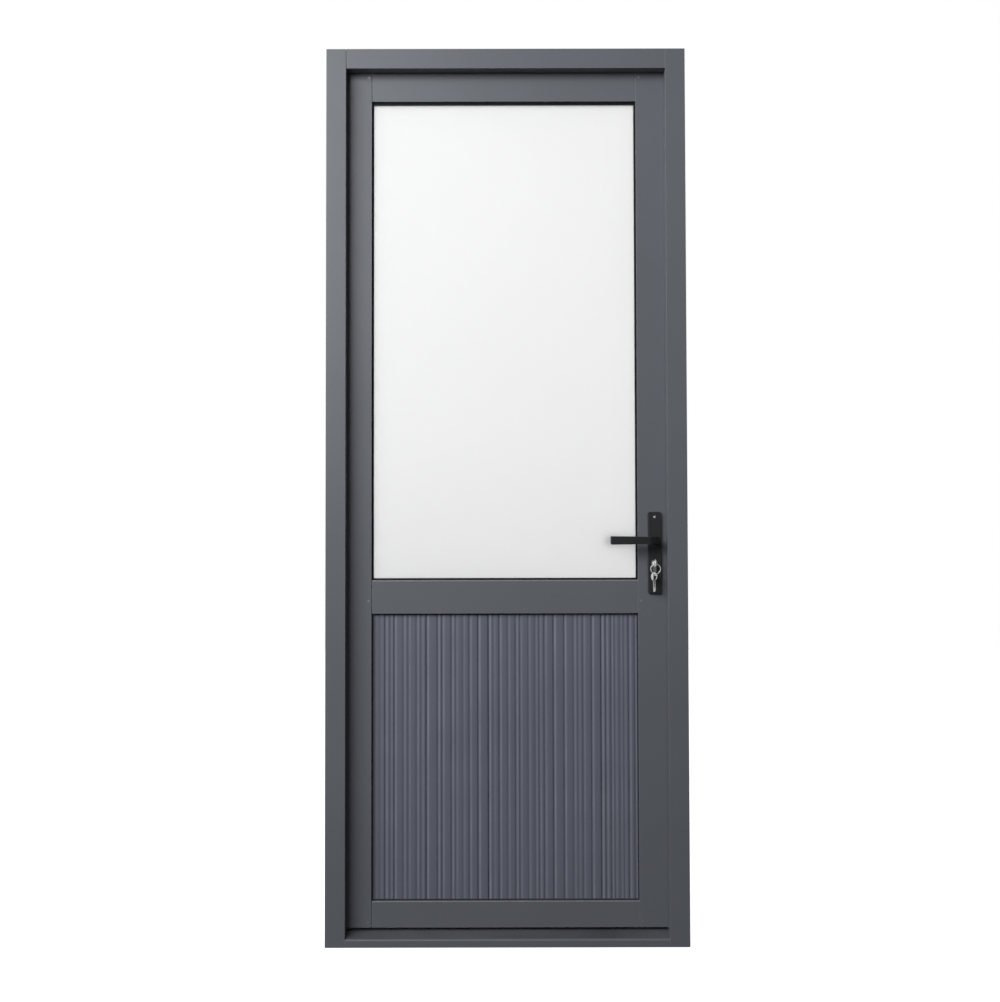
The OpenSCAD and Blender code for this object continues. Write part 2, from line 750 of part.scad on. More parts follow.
// A block in each end of each rail, which carries the pin through the stile's lip
module rail_cleats() {
    color(steel) for (i = [0 : 2],
        end = [[pocket_x0, open_x0 - cleat_pin_dx, 0], [pocket_x1, open_x1 + cleat_pin_dx, 1]])
        difference() {
            block(end[2] ? end[0] - rail_cleat_len : end[0], end[2] ? end[0] : end[0] + rail_cleat_len,
                y_lip, y_back - wall - loose, rail_bodies[i][0] + wall + loose,
                    rail_bodies[i][1] - wall - loose);
            rod_y(end[1], cleat_pin_zs[i], cleat_pin_r + thread, y_lip - cut, y_leaf + cleat_pin_len + cut);
        }
}

module cleat_pins() {
    color(slate) for (x = [open_x0 - cleat_pin_dx, open_x1 + cleat_pin_dx], z = cleat_pin_zs) {
        rod_y(x, z, cleat_pin_r, y_leaf, y_leaf + cleat_pin_len);
        cone_y(x, z, cleat_pin_head_r, cleat_pin_r, y_leaf, y_leaf + cleat_pin_head_t);
    }
}

// ---------- glass ----------

module glass_pane() {
    color(milk) block(open_x0 - bite, open_x1 + bite, y_pane, y_pane + glass_t, glass_z0 - bite,
        glass_z1 + bite);
}

module glass_gasket_outside() {
    color(black) ring(open_x0, open_x1, glass_z0, glass_z1, gasket_cover, gasket_sight, y_lip, y_pane);
}

module glass_gasket_inside() {
    color(black) ring(open_x0, open_x1, glass_z0, glass_z1, gasket_cover, gasket_sight,
        y_pane + glass_t, y_glass_bead);
}

// Beads along the top and bottom of an opening
module beads_level(y0, z0, z1) {
    level(pocket_x0, pocket_x1) {
        stand(z0 - lip_w) bead_section(y0);
        hang(z1 + lip_w) bead_section(y0);
    }
}

// Beads up its two sides, fitted between the level ones
module beads_upright(y0, z0, z1) {
    translate([0, 0, z0]) linear_extrude(z1 - z0) {
        translate([pocket_x0, 0]) bead_section(y0);
        translate([pocket_x1, 0]) mirror([1, 0]) bead_section(y0);
    }
}

module glass_beads_level() { color(slate) beads_level(y_glass_bead, glass_z0, glass_z1); }
module glass_beads_upright() { color(slate) beads_upright(y_glass_bead, glass_z0, glass_z1); }

// ---------- reeded panel ----------

// Joints between the boards and the limits of the panel, left to right
board_xs = [open_x0 - bite, board_joint_x, board_joint_x + board_cover, open_x1 + bite];

// Left edge of each reed, counted from the joint before the first board
function sum(v, n) = n <= 0 ? 0 : v[n - 1] + sum(v, n - 1);
reed_total = sum(reed_w, len(reed_w));
reed_starts = [
    for (m = [-2 : 1], i = [0 : len(reed_w) - 1])
        board_joint_x + m * board_cover + sum(reed_w, i) * board_cover / reed_total
];

// Points along a reeded face between x0 and x1, each reed a low crown between two grooves
function reed_points(x0, x1) = [
    for (i = [0 : len(reed_starts) - 2])
        let (a = reed_starts[i], b = reed_starts[i + 1])
        for (t = reed_steps)
            let (x = (a + b) / 2 + t * (b - a) / 2)
            if (x > x0 + board_gap && x < x1 - board_gap) [x, y_pane + reed_depth * pow(abs(t), 3)]
];

// One board. Its left edge tucks behind the board before it and its right edge laps the next one
module board(i) {
    x0 = board_xs[i] + (i > 0 ? board_gap : 0);
    x1 = board_xs[i + 1];
    tongue = i > 0 ? board_lap - board_gap : 0;
    lap = i < len(board_xs) - 2 ? board_lap + board_gap : 0;
    y_lap = y_pane + board_lap_t;
    ribs = max(1, ceil((x1 - x0 - lap) / board_rib_pitch));
    pitch = (x1 - lap - x0) / ribs;
    translate([0, 0, panel_z0 - bite]) linear_extrude(panel_z1 - panel_z0 + 2 * bite) difference() {
        polygon(concat(
            [[x0, y_pane + reed_depth]], reed_points(x0, x1), [[x1, y_pane + reed_depth]],
            lap > 0 ? [[x1, y_lap], [x1 - lap, y_lap], [x1 - lap, y_board_back]] : [[x1, y_board_back]],
            tongue > 0
                ? [[x0 - tongue, y_board_back], [x0 - tongue, y_lap + board_gap], [x0, y_lap + board_gap]]
                : [[x0, y_board_back]]
        ));
        for (k = [0 : ribs - 1])
            translate([x0 + k * pitch + board_rib, y_pane + reed_depth + board_skin])
                square([pitch - 2 * board_rib, board_t - reed_depth - 2 * board_skin]);
    }
}

module panel_board_left() { color(slate_panel) board(0); }
module panel_board_middle() { color(slate_panel) board(1); }
module panel_board_right() { color(slate_panel) board(2); }

module panel_gaskets() {
    color(black) for (y = [y_lip, y_board_back])
        ring(open_x0, open_x1, panel_z0, panel_z1, gasket_cover, gasket_sight, y, y + gasket_t);
}

module panel_beads_level() { color(slate) beads_level(y_panel_bead, panel_z0, panel_z1); }
module panel_beads_upright() { color(slate) beads_upright(y_panel_bead, panel_z0, panel_z1); }

// Blocks that carry the glass and each board
module setting_blocks() {
    color(grey_plastic) {
        for (f = [0.25, 0.75])
            translate([open_x0 + f * (open_x1 - open_x0), 0, 0])
                block(-block_len / 2, block_len / 2, y_pane - 1, y_pane - 1 + block_t, glass_z0 - lip_w,
                    glass_z0 - bite);
        for (i = [0 : 2])
            translate([(board_xs[i] + board_xs[i + 1]) / 2, 0, 0])
                block(-block_len / 4, block_len / 4, y_pane + reed_depth, y_board_back, panel_z0 - lip_w,
                    panel_z0 - bite);
    }
}

// Rubber blade under the leaf
module bottom_seal() {
    color(black) {
        block(-half_leaf + foot_seal_inset, half_leaf - foot_seal_inset, y_mid - foot_seal_base_w / 2,
            y_mid + foot_seal_base_w / 2, leaf_z0 - foot_seal_base_t, leaf_z0);
        block(-half_leaf + foot_seal_inset, half_leaf - foot_seal_inset, y_mid - foot_seal_blade_t / 2,
            y_mid + foot_seal_blade_t / 2, sill_h + slip, leaf_z0 - foot_seal_base_t);
    }
}

// ---------- lock ----------

module lock_case() {
    y0 = y_mid - case_t / 2;
    y1 = y_mid + case_t / 2;
    color(steel) difference() {
        union() {
            difference() {
                block(case_x0, half_leaf, y0, y1, case_z0, case_z1);
                block(case_x0 + case_wall, half_leaf - case_wall, y0 + case_wall, y1 - case_wall,
                    case_z0 + case_wall, case_z1 - case_wall);
            }
            block(spring_post_x, spring_post_x + spring_post_t, y0, y1,
                handle_z + spring_dz - spring_r, handle_z + spring_dz + spring_r);
        }
        rod_y(handle_x, handle_z, journal_r + run, y0 - cut, y1 + cut);
        through(y0 - cut, y1 + cut) cylinder_outline(slip);
        bolt_opening(half_leaf - case_wall - cut, half_leaf + cut, latch_z0, latch_h);
        bolt_opening(half_leaf - case_wall - cut, half_leaf + cut, deadbolt_z0, deadbolt_h);
        rod_x(y_mid, cylinder_screw_z, lock_screw_r + thread, half_leaf - case_wall - cut, half_leaf + cut);
    }
}

// Height of the screw that holds the key cylinder
cylinder_screw_z = key_z + cylinder_r - cylinder_h + bridge_h / 2;

// Opening for a bolt, with its clearance
module bolt_opening(x0, x1, z0, h) {
    block(x0, x1, y_mid - bolt_t / 2 - bolt_gap, y_mid + bolt_t / 2 + bolt_gap, z0 - bolt_gap,
        z0 + h + bolt_gap);
}

module lock_faceplate() {
    color(steel) difference() {
        level(half_leaf, half_leaf + faceplate_t)
            round_plate(y_mid, faceplate_w, faceplate_z0, faceplate_z1, faceplate_w / 2 - 0.01);
        bolt_opening(half_leaf - cut, half_leaf + faceplate_t + cut, latch_z0, latch_h);
        bolt_opening(half_leaf - cut, half_leaf + faceplate_t + cut, deadbolt_z0, deadbolt_h);
        for (z = [faceplate_z0 + lock_screw_inset, cylinder_screw_z, faceplate_z1 - lock_screw_inset]) {
            rod_x(y_mid, z, lock_screw_r + thread, half_leaf - cut, half_leaf + faceplate_t + cut);
            cone_x(y_mid, z, lock_screw_head_r + thread, lock_screw_r + thread,
                half_leaf + faceplate_t, half_leaf + faceplate_t - lock_screw_head_t);
        }
    }
}

// Two screws through the faceplate and a long one into the key cylinder
module lock_screws() {
    x1 = half_leaf + faceplate_t;
    color(steel) for (s = [
            [faceplate_z0 + lock_screw_inset, x1 - 20], [faceplate_z1 - lock_screw_inset, x1 - 20],
            [cylinder_screw_z, handle_x - cylinder_leg_w / 2]
        ]) {
        rod_x(y_mid, s[0], lock_screw_r, s[1], x1);
        cone_x(y_mid, s[0], lock_screw_head_r, lock_screw_r, x1, x1 - lock_screw_head_t);
    }
}

// The cylinder's body reaches a little past both handle plates
module cylinder_body() {
    y0 = plate_y - cylinder_proud;
    y1 = 2 * y_mid - y0;
    color(steel) difference() {
        through(y0, y1) cylinder_outline();
        rod_y(handle_x, key_z, plug_r + run, y0 - cut, y1 + cut);
        block(handle_x - cylinder_h, handle_x + cylinder_h, y_mid - cam_half, y_mid + cam_half,
            key_z + cylinder_r - cylinder_h + bridge_h, key_z + cylinder_h);
        rod_x(y_mid, cylinder_screw_z, lock_screw_r + thread, handle_x - cylinder_h, handle_x + cylinder_h);
    }
}

// A plug from its face to the cam, with its keyway
module plug() {
    color(brass) difference() {
        rod_y(handle_x, key_z, plug_r, plug_y0, y_mid - cam_half - slip);
        block(handle_x - key_t / 2 - key_gap, handle_x + key_t / 2 + key_gap, plug_y0 - cut,
            y_mid - cam_half + cut, key_z - blade_h / 2 - key_gap, key_z + blade_h / 2 + key_gap);
    }
}

module cylinder_plug_outside() { plug(); }
module cylinder_plug_inside() { inside() plug(); }

module cylinder_cam() {
    y0 = y_mid - cam_half + slip;
    y1 = y_mid + cam_half - slip;
    color(steel) {
        rod_y(handle_x, key_z, plug_r, y_mid - cam_half - slip, y1);
        block(handle_x - cam_lug_half, handle_x + cam_lug_half, y0, y1, key_z - cam_r, key_z);
    }
}

// Hub that the spindle turns, with the lug that draws the latch back
module lock_follower() {
    color(steel) difference() {
        union() {
            rod_y(handle_x, handle_z, follower_r, y_mid - case_t / 2 + case_wall + slip,
                y_mid + case_t / 2 - case_wall - slip);
            rod_y(handle_x, handle_z, journal_r, y_mid - case_t / 2, y_mid + case_t / 2);
            block(handle_x - lug_half, handle_x + lug_half, y_mid - lug_t / 2, y_mid + lug_t / 2,
                handle_z, handle_z + lug_top);
        }
        spindle_hole(y_mid - case_t, y_mid + case_t);
    }
}

// Square hole for the spindle
module spindle_hole(y0, y1) {
    s = spindle_side / 2 + thread;
    block(handle_x - s, handle_x + s, y0, y1, handle_z - s, handle_z + s);
}

module latch_bolt() {
    x1 = half_leaf + faceplate_t + latch_reach;
    nose = half_leaf + faceplate_t;
    x0 = half_leaf - latch_back;
    hook_x = handle_x - 2 * latch_hook_w;
    color(steel) {
        translate([0, 0, latch_z0]) linear_extrude(latch_h) polygon([
            [x0, y_mid - bolt_t / 2], [nose, y_mid - bolt_t / 2], [x1, y_mid + bolt_t / 2 - wall],
            [x1, y_mid + bolt_t / 2], [x0, y_mid + bolt_t / 2]
        ]);
        block(x0 - latch_tail_t, x0, y_mid - lug_t / 2, y_mid + lug_t / 2, handle_z,
            latch_tail_z + latch_tail_t);
        block(hook_x, x0 - latch_tail_t, y_mid - lug_t / 2, y_mid + lug_t / 2, latch_tail_z,
            latch_tail_z + latch_tail_t);
        block(hook_x, hook_x + latch_hook_w, y_mid - lug_t / 2, y_mid + lug_t / 2,
            latch_tail_z - latch_hook_drop, latch_tail_z);
    }
}

// Coil spring that pushes the latch out, from a post in the case to the latch's tail
function spring_point(x0, x1, i, j) = let (
        n = spring_turns * spring_steps,
        a = 360 * spring_turns * i / n,
        b = 360 * j / spring_sides,
        r = spring_r - spring_wire_r + spring_wire_r * cos(b)
    ) [x0 + (x1 - x0) * i / n + spring_wire_r * sin(b), y_mid + r * cos(a),
        handle_z + spring_dz + r * sin(a)];

module latch_spring() {
    x0 = spring_post_x + spring_post_t + spring_wire_r;
    x1 = half_leaf - latch_back - latch_tail_t - spring_wire_r;
    n = spring_turns * spring_steps;
    m = spring_sides;
    color(steel) polyhedron(
        points = [for (i = [0 : n], j = [0 : m - 1]) spring_point(x0, x1, i, j)],
        faces = concat(
            [[for (j = [0 : m - 1]) j]],
            [for (i = [0 : n - 1], j = [0 : m - 1])
                [i * m + j, (i + 1) * m + j, (i + 1) * m + (j + 1) % m, i * m + (j + 1) % m]],
            [[for (j = [m - 1 : -1 : 0]) n * m + j]]
        )
    );
}

module deadbolt() {
    x1 = half_leaf + faceplate_t - slip;
    color(steel) block(x1 - deadbolt_len, x1, y_mid - bolt_t / 2, y_mid + bolt_t / 2,
        deadbolt_z0, deadbolt_z0 + deadbolt_h);
}

// ---------- handles ----------

module handle_plate() {
    color(handle_black) difference() {
        through(plate_y, y_leaf) round_plate(handle_x, plate_w, plate_z0, plate_z1, plate_corner);
        difference() {
            through(plate_y + plate_wall, y_leaf + cut)
                round_plate(handle_x, plate_w - 2 * plate_wall, plate_z0 + plate_wall,
                    plate_z1 - plate_wall,
                    plate_corner - plate_wall);
            for (z = [plate_z0 + plate_screw_inset, plate_z1 - plate_screw_inset])
                rod_y(handle_x, z, plate_boss_r, plate_y, y_leaf + cut);
        }
        rod_y(handle_x, handle_z, neck_r + slip, plate_y - cut, y_leaf + cut);
        through(plate_y - cut, y_leaf + cut) cylinder_outline(slip);
        for (z = [plate_z0 + plate_screw_inset, plate_z1 - plate_screw_inset]) {
            rod_y(handle_x, z, plate_screw_r + thread, plate_y - cut, y_leaf + cut);
            cone_y(handle_x, z, plate_screw_head_r + thread, plate_screw_r + thread, plate_y,
                plate_y + plate_screw_head_t);
        }
    }
}

module handle_plate_outside() { handle_plate(); }
module handle_plate_inside() { inside() handle_plate(); }

module plate_screw_pair() {
    for (z = [plate_z0 + plate_screw_inset, plate_z1 - plate_screw_inset]) {
        rod_y(handle_x, z, plate_screw_r, plate_y, plate_y + plate_screw_len);
        cone_y(handle_x, z, plate_screw_head_r, plate_screw_r, plate_y, plate_y + plate_screw_head_t);
    }
}

module plate_screws() {
    color(handle_black) {
        plate_screw_pair();
        inside() plate_screw_pair();
    }
}

// Arm outline in X and Z: straight top, a rounder corner under the tip
module arm_outline() {
    tip = lever_tip_h / 2;
    root = lever_root_h / 2;
    translate([handle_x, handle_z]) polygon(concat(
        arc([-lever_len + lever_edge, tip - lever_edge], lever_edge, 180, 90),
        arc([lever_heel - lever_edge, root - lever_edge], lever_edge, 90, 0),
        arc([lever_heel - lever_edge, lever_edge - root], lever_edge, 0, -90),
        arc([-lever_len + lever_corner, lever_corner - tip], lever_corner, -90, -180)
    ));
}

module lever() {
    color(handle_black) difference() {
        union() {
            through(arm_y0, arm_y1) arm_outline();
            rod_y(handle_x, handle_z, neck_r - slip / 3, arm_y0 + lever_t / 2, neck_y1);
        }
        spindle_hole(arm_y1 + 3, neck_y1 + cut);
        rod_z(handle_x, grub_y, grub_r + thread, handle_z - neck_r - cut, handle_z);
    }
}

module lever_outside() { lever(); }
module lever_inside() { inside() lever(); }

module spindle() {
    s = spindle_side / 2;
    color(steel) block(handle_x - s, handle_x + s, arm_y1 + 4, 2 * y_mid - arm_y1 - 4, handle_z - s,
        handle_z + s);
}

module grub_screw() {
    rod_z(handle_x, grub_y, grub_r, handle_z - spindle_side / 2 - grub_len, handle_z - spindle_side / 2);
}

module grub_screws() {
    color(steel) {
        grub_screw();
        inside() grub_screw();
    }
}

// ---------- keys ----------

// Key outline: the hole in the bow is at the origin and the blade runs towards +X
module key_outline() {
    bow_x = bow_r - key_hole_inset;
    x0 = bow_x;
    x1 = 2 * bow_r - key_hole_inset + blade_len;
    pitch = blade_len / (len(bitting) + 2);
    difference() {
        union() {
            translate([bow_x, 0]) circle(bow_r);
            polygon([
                [x0, -blade_h / 2], [x1 - 2, -blade_h / 2], [x1, 0], [x1 - 3, blade_h / 2],
                    [x0, blade_h / 2]
            ]);
        }
        circle(key_hole_r);
        for (i = [0 : len(bitting) - 1]) translate([x1 - (i + 1.2) * pitch, blade_h / 2]) polygon([
            [-pitch / 2, 0.5], [-0.6, -bitting[i]], [0.6, -bitting[i]], [pitch / 2, 0.5]
        ]);
    }
}

module key_blank() level(-key_t / 2, key_t / 2) key_outline();

module key() { color(steel) translate([handle_x, key_hole_y, key_z]) key_blank(); }

module key_ring() {
    color(steel) translate([handle_x, key_hole_y, ring_z]) rotate([90, 0, 0])
        rotate_extrude() translate([ring_r, 0]) circle(ring_wire_r, $fn = 24);
}

module spare_key() {
    color(steel) translate([handle_x, key_hole_y, spare_hole_z])
        rotate([0, 0, spare_turn]) rotate([-90, 0, 0]) key_blank();
}

jamb_hinge_side();
jamb_lock_side();
head();
sill();
frame_cleats();
frame_screws();
weatherseal();
strike_plate();
strike_screws();
hinge_frame_wing_1();
hinge_frame_wing_2();
hinge_frame_wing_3();
hinge_pins();
hinge_frame_screws();
stile_hinge_side();
stile_lock_side();
top_rail();
mid_rail();
bottom_rail();
rail_cleats();
cleat_pins();
glass_pane();
glass_gasket_outside();
glass_gasket_inside();
glass_beads_level();
glass_beads_upright();
setting_blocks();
panel_board_left();
panel_board_middle();
panel_board_right();
panel_gaskets();
panel_beads_level();
panel_beads_upright();
bottom_seal();
hinge_leaf_wing_1();
hinge_leaf_wing_2();
hinge_leaf_wing_3();
hinge_bushes();
hinge_leaf_screws();
lock_case();
lock_faceplate();
lock_screws();
cylinder_body();
cylinder_plug_inside();
handle_plate_outside();
handle_plate_inside();
plate_screws();
lever_outside();
lever_inside();
spindle();
lock_follower();
grub_screws();
latch_bolt();
latch_spring();
deadbolt();
cylinder_plug_outside();
cylinder_cam();
key();
key_ring();
spare_key();
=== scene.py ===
# %% [markdown]
# # A half-glazed aluminium door in its frame
#
# The measured solids of the door come in first and stay where they are. Everything after that
# is finish: softened edges, drawn screws, reeded boards, coatings and light. The real door is a
# kit of extruded aluminium bars, so most pieces here are copies of those bars with their sharp
# computer edges eased, as an extrusion die and a coat of powder leave them.

# %% Load the door
import json
import math

import bpy
import bmesh
from mathutils import Matrix, Vector


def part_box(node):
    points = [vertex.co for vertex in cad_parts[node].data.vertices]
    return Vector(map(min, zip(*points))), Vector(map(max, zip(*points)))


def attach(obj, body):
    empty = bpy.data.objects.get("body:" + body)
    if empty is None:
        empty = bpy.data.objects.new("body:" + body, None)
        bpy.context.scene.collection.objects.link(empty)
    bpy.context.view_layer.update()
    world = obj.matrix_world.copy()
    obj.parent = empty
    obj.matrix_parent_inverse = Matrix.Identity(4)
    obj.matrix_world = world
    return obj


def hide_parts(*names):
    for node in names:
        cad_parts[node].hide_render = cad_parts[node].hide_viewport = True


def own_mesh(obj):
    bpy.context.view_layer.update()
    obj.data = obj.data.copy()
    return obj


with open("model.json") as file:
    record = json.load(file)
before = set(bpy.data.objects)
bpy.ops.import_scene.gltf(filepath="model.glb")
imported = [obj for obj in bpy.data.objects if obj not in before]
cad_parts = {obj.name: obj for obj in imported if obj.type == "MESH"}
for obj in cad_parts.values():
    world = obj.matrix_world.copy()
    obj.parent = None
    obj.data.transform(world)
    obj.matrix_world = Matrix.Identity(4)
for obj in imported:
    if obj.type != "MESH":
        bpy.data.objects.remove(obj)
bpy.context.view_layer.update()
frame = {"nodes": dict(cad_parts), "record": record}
MM = 0.001
body_of_node = {n: body for body, group in frame["record"]["behaviour"]["bodies"].items() for n in group}

# %% [markdown]
# ## Colours and grain of the finishes
#
# A powder coat looks even from across a room, yet close up it has a fine orange-peel skin, a tone
# that drifts a little along a bar, and slightly paler edges where the powder lies thin. One node
# group makes those three effects, and each paint uses it with its own numbers. It could be baked
# into pictures, but noise in object coordinates needs no unwrapping and never shows a seam.

# %% Helpers for node groups
def node_group(name, inputs, outputs):
    """A shader node group with named sockets; returns it with its two end nodes."""
    tree = bpy.data.node_groups.new(name, "ShaderNodeTree")
    for way, sockets in (("INPUT", inputs), ("OUTPUT", outputs)):
        for label, kind, value in sockets:
            made = tree.interface.new_socket(name=label, in_out=way, socket_type="NodeSocket" + kind)
            if value is not None:
                made.default_value = value
    return tree, tree.nodes.new("NodeGroupInput"), tree.nodes.new("NodeGroupOutput")


def add(tree, kind, links=(), **values):
    """A node with some sockets set and others linked: links are pairs of input name and source socket."""
    node = tree.nodes.new("ShaderNode" + kind)
    for key, value in values.items():
        setattr(node, key, value)
    for key, source in links:
        if hasattr(source, "node"):
            tree.links.new(source, node.inputs[key])
        else:
            node.inputs[key].default_value = source
    return node


def calc(tree, operation, *terms):
    """A Math node over sockets or plain numbers; returns its result."""
    return add(tree, "Math", list(enumerate(terms)), operation=operation).outputs[0]


def blend_colour(tree, share, a, b, blend="MIX"):
    """Mixes two colours by a share; returns the mixed colour."""
    mix = add(tree, "Mix", data_type="RGBA", blend_type=blend)
    for socket, source in ((mix.inputs[0], share), (mix.inputs[6], a), (mix.inputs[7], b)):
        if hasattr(source, "node"):
            tree.links.new(source, socket)
        else:
            socket.default_value = source
    return mix.outputs[2]


def noise(tree, place, scale, detail=2.0, rough=0.5):
    """A noise value between 0 and 1 at that scale."""
    return add(tree, "TexNoise", [("Vector", place), ("Scale", scale), ("Detail", detail),
                                  ("Roughness", rough)]).outputs["Fac"]


def spread_noise(tree, value, low, high):
    """Noise gathers round its middle; this stretches its usual span over low to high."""
    return add(tree, "MapRange", [("Value", value), ("From Min", 0.3), ("From Max", 0.7), ("To Min", low),
                                  ("To Max", high)]).outputs[0]


# %% [markdown]
# ### Eased edges, painted shade and painted highlight
#
# Powder draws back from a sharp corner, and hands, keys and cleaning cloths rub it first. The pieces
# below carry a number called `edge` on the small faces of every eased corner. This group reads it and
# breaks it up with noise, so the rubbed line is uneven. A ray-traced edge finder would do the same
# with no number to carry, but it costs render time at every sample. On the reeded boards the `edge`
# number marks the lit flank beside each groove, and there it is a painted highlight. A second number,
# `recess`, marks the grooves, the sill's tread and the lever's heel, and darkens them as painted shade.

# %% Group: rubbed edges, painted shade and painted highlight
EDGE_BREAK_UP = 60.0
wear_and_painted_light, g_in, g_out = node_group(
    "rubbed_edges_and_painted_light",
    [("Place", "Vector", None), ("Break up", "Float", EDGE_BREAK_UP)],
    [("Mask", "Float", None), ("Dirt", "Float", None)])
edge_number = add(wear_and_painted_light, "Attribute", attribute_name="edge").outputs["Fac"]
patchy = noise(wear_and_painted_light, g_in.outputs["Place"], g_in.outputs["Break up"], 3.0, 0.6)
uneven = spread_noise(wear_and_painted_light, patchy, 0.4, 1.0)
wear_and_painted_light.links.new(calc(wear_and_painted_light, "MULTIPLY", edge_number, uneven), g_out.inputs["Mask"])
# The recess number, broken up by noise, is painted shade: it darkens grooves, the sill's tread and the
# lever's heel.
painted_shade_number = add(wear_and_painted_light, "Attribute", attribute_name="recess").outputs["Fac"]
uneven_painted_shade = calc(wear_and_painted_light, "MULTIPLY_ADD", noise(wear_and_painted_light, g_in.outputs["Place"], 6.0, 3.0), 1.5, 0.2)
wear_and_painted_light.links.new(calc(wear_and_painted_light, "MULTIPLY", painted_shade_number, uneven_painted_shade), g_out.inputs["Dirt"])

# %% Group: powder coat
coat, g_in, g_out = node_group(
    "powder_coat",
    [("Place", "Vector", None), ("Coat colour", "Color", (0.5, 0.5, 0.5, 1)),
     ("Edge colour", "Color", (0.6, 0.6, 0.6, 1)), ("Edge", "Float", 0.0),
     ("Dirt colour", "Color", (0.05, 0.05, 0.05, 1)), ("Dirt", "Float", 0.0), ("Peel size", "Float", 900.0),
     ("Gloss spread", "Float", 0.08), ("Base roughness", "Float", 0.4)],
    [("Colour", "Color", None), ("Roughness", "Float", None), ("Peel", "Float", None)])
place = g_in.outputs["Place"]
drift = spread_noise(coat, noise(coat, place, 2.6, 3.0), 0.955, 1.045)
speck = spread_noise(coat, noise(coat, place, 420.0, 2.0), 0.97, 1.03)
tone = calc(coat, "MULTIPLY", drift, speck)
tinted = add(coat, "VectorMath", [(0, g_in.outputs["Coat colour"])], operation="SCALE")
coat.links.new(tone, tinted.inputs["Scale"])
# On the panel the Edge input paints a highlight on the reeds; elsewhere it is edge wear.
wear_and_highlight = blend_colour(coat, g_in.outputs["Edge"], tinted.outputs[0], g_in.outputs["Edge colour"])
# The Shade input darkens the coat as painted shade.
with_painted_shade = blend_colour(coat, g_in.outputs["Dirt"], wear_and_highlight, g_in.outputs["Dirt colour"])
coat.links.new(with_painted_shade, g_out.inputs["Colour"])
wipe = calc(coat, "SUBTRACT", noise(coat, place, 14.0, 4.0, 0.6), 0.5)
spread = calc(coat, "MULTIPLY_ADD", wipe, g_in.outputs["Gloss spread"], g_in.outputs["Base roughness"])
coat.links.new(spread, g_out.inputs["Roughness"])
peel = calc(coat, "MULTIPLY_ADD", noise(coat, place, g_in.outputs["Peel size"], 2.0), 0.7,
            calc(coat, "MULTIPLY", noise(coat, place, 160.0, 1.0), 0.3))
coat.links.new(peel, g_out.inputs["Peel"])

# %% [markdown]
# ### Drawn and brushed metal
#
# Lock steel is ground on a belt, which leaves long parallel scratches. Noise that is stretched fifty
# times along one axis gives the same lines, in the brightness, the roughness and the surface height.

# %% Group: brushed metal
brushed, g_in, g_out = node_group(
    "brushed_metal",
    [("Place", "Vector", None), ("Metal colour", "Color", (0.6, 0.6, 0.6, 1)),
     ("Line stretch", "Vector", None), ("Edge", "Float", 0.0), ("Base roughness", "Float", 0.3)],
    [("Colour", "Color", None), ("Roughness", "Float", None), ("Scratch", "Float", None)])
stretched = add(brushed, "VectorMath", [(0, g_in.outputs["Place"]), (1, g_in.outputs["Line stretch"])],
                operation="MULTIPLY").outputs[0]
lines = noise(brushed, stretched, 1.0, 4.0, 0.6)
stain = noise(brushed, g_in.outputs["Place"], 35.0, 3.0)
streaks = calc(brushed, "MULTIPLY_ADD", lines, 0.22, 0.80)
stained = calc(brushed, "MULTIPLY_ADD", stain, 0.12, streaks)
bright = calc(brushed, "MULTIPLY_ADD", g_in.outputs["Edge"], 0.15, stained)
metal_tone = add(brushed, "VectorMath", [(0, g_in.outputs["Metal colour"]), ("Scale", bright)],
                 operation="SCALE")
brushed.links.new(metal_tone.outputs[0], g_out.inputs["Colour"])
off_middle = calc(brushed, "SUBTRACT", lines, 0.5)
rougher = calc(brushed, "MULTIPLY_ADD", off_middle, 0.25, g_in.outputs["Base roughness"])
brushed.links.new(calc(brushed, "MULTIPLY_ADD", stain, 0.08, rougher), g_out.inputs["Roughness"])
brushed.links.new(lines, g_out.inputs["Scratch"])
print("node groups:", [g.name for g in bpy.data.node_groups])


# %% [markdown]
# ### One material for each finish
#
# Every material has its own Principled shader. What is the same all over a surface, such as the
# specular level, is set on the shader, and only what changes from place to place comes from a group.

# %% Helpers for materials
def start_material(name, **constants):
    """A new material with its Principled shader and the object coordinates."""
    mat = bpy.data.materials.new(name)
    mat.use_nodes = True
    tree = mat.node_tree
    tree.nodes.clear()
    shader = tree.nodes.new("ShaderNodeBsdfPrincipled")
    end = tree.nodes.new("ShaderNodeOutputMaterial")
    tree.links.new(shader.outputs[0], end.inputs["Surface"])
    for label, value in constants.items():
        shader.inputs[label.replace("_", " ")].default_value = value
    place = tree.nodes.new("ShaderNodeTexCoord").outputs["Object"]
    return mat, tree, shader, place


def use_group(tree, group, **sources):
    """A group node with its inputs set or linked; underscores stand for spaces."""
    node = tree.nodes.new("ShaderNodeGroup")
    node.node_tree = group
    for label, source in sources.items():
        socket = node.inputs[label.replace("_", " ")]
        if hasattr(source, "node"):
            tree.links.new(source, socket)
        else:
            socket.default_value = source
    return node.outputs


def bump(tree, shader, height, strength, distance):
    """Height into the shader's normal."""
    node = add(tree, "Bump", [("Height", height), ("Strength", strength), ("Distance", distance)])
    tree.links.new(node.outputs[0], shader.inputs["Normal"])


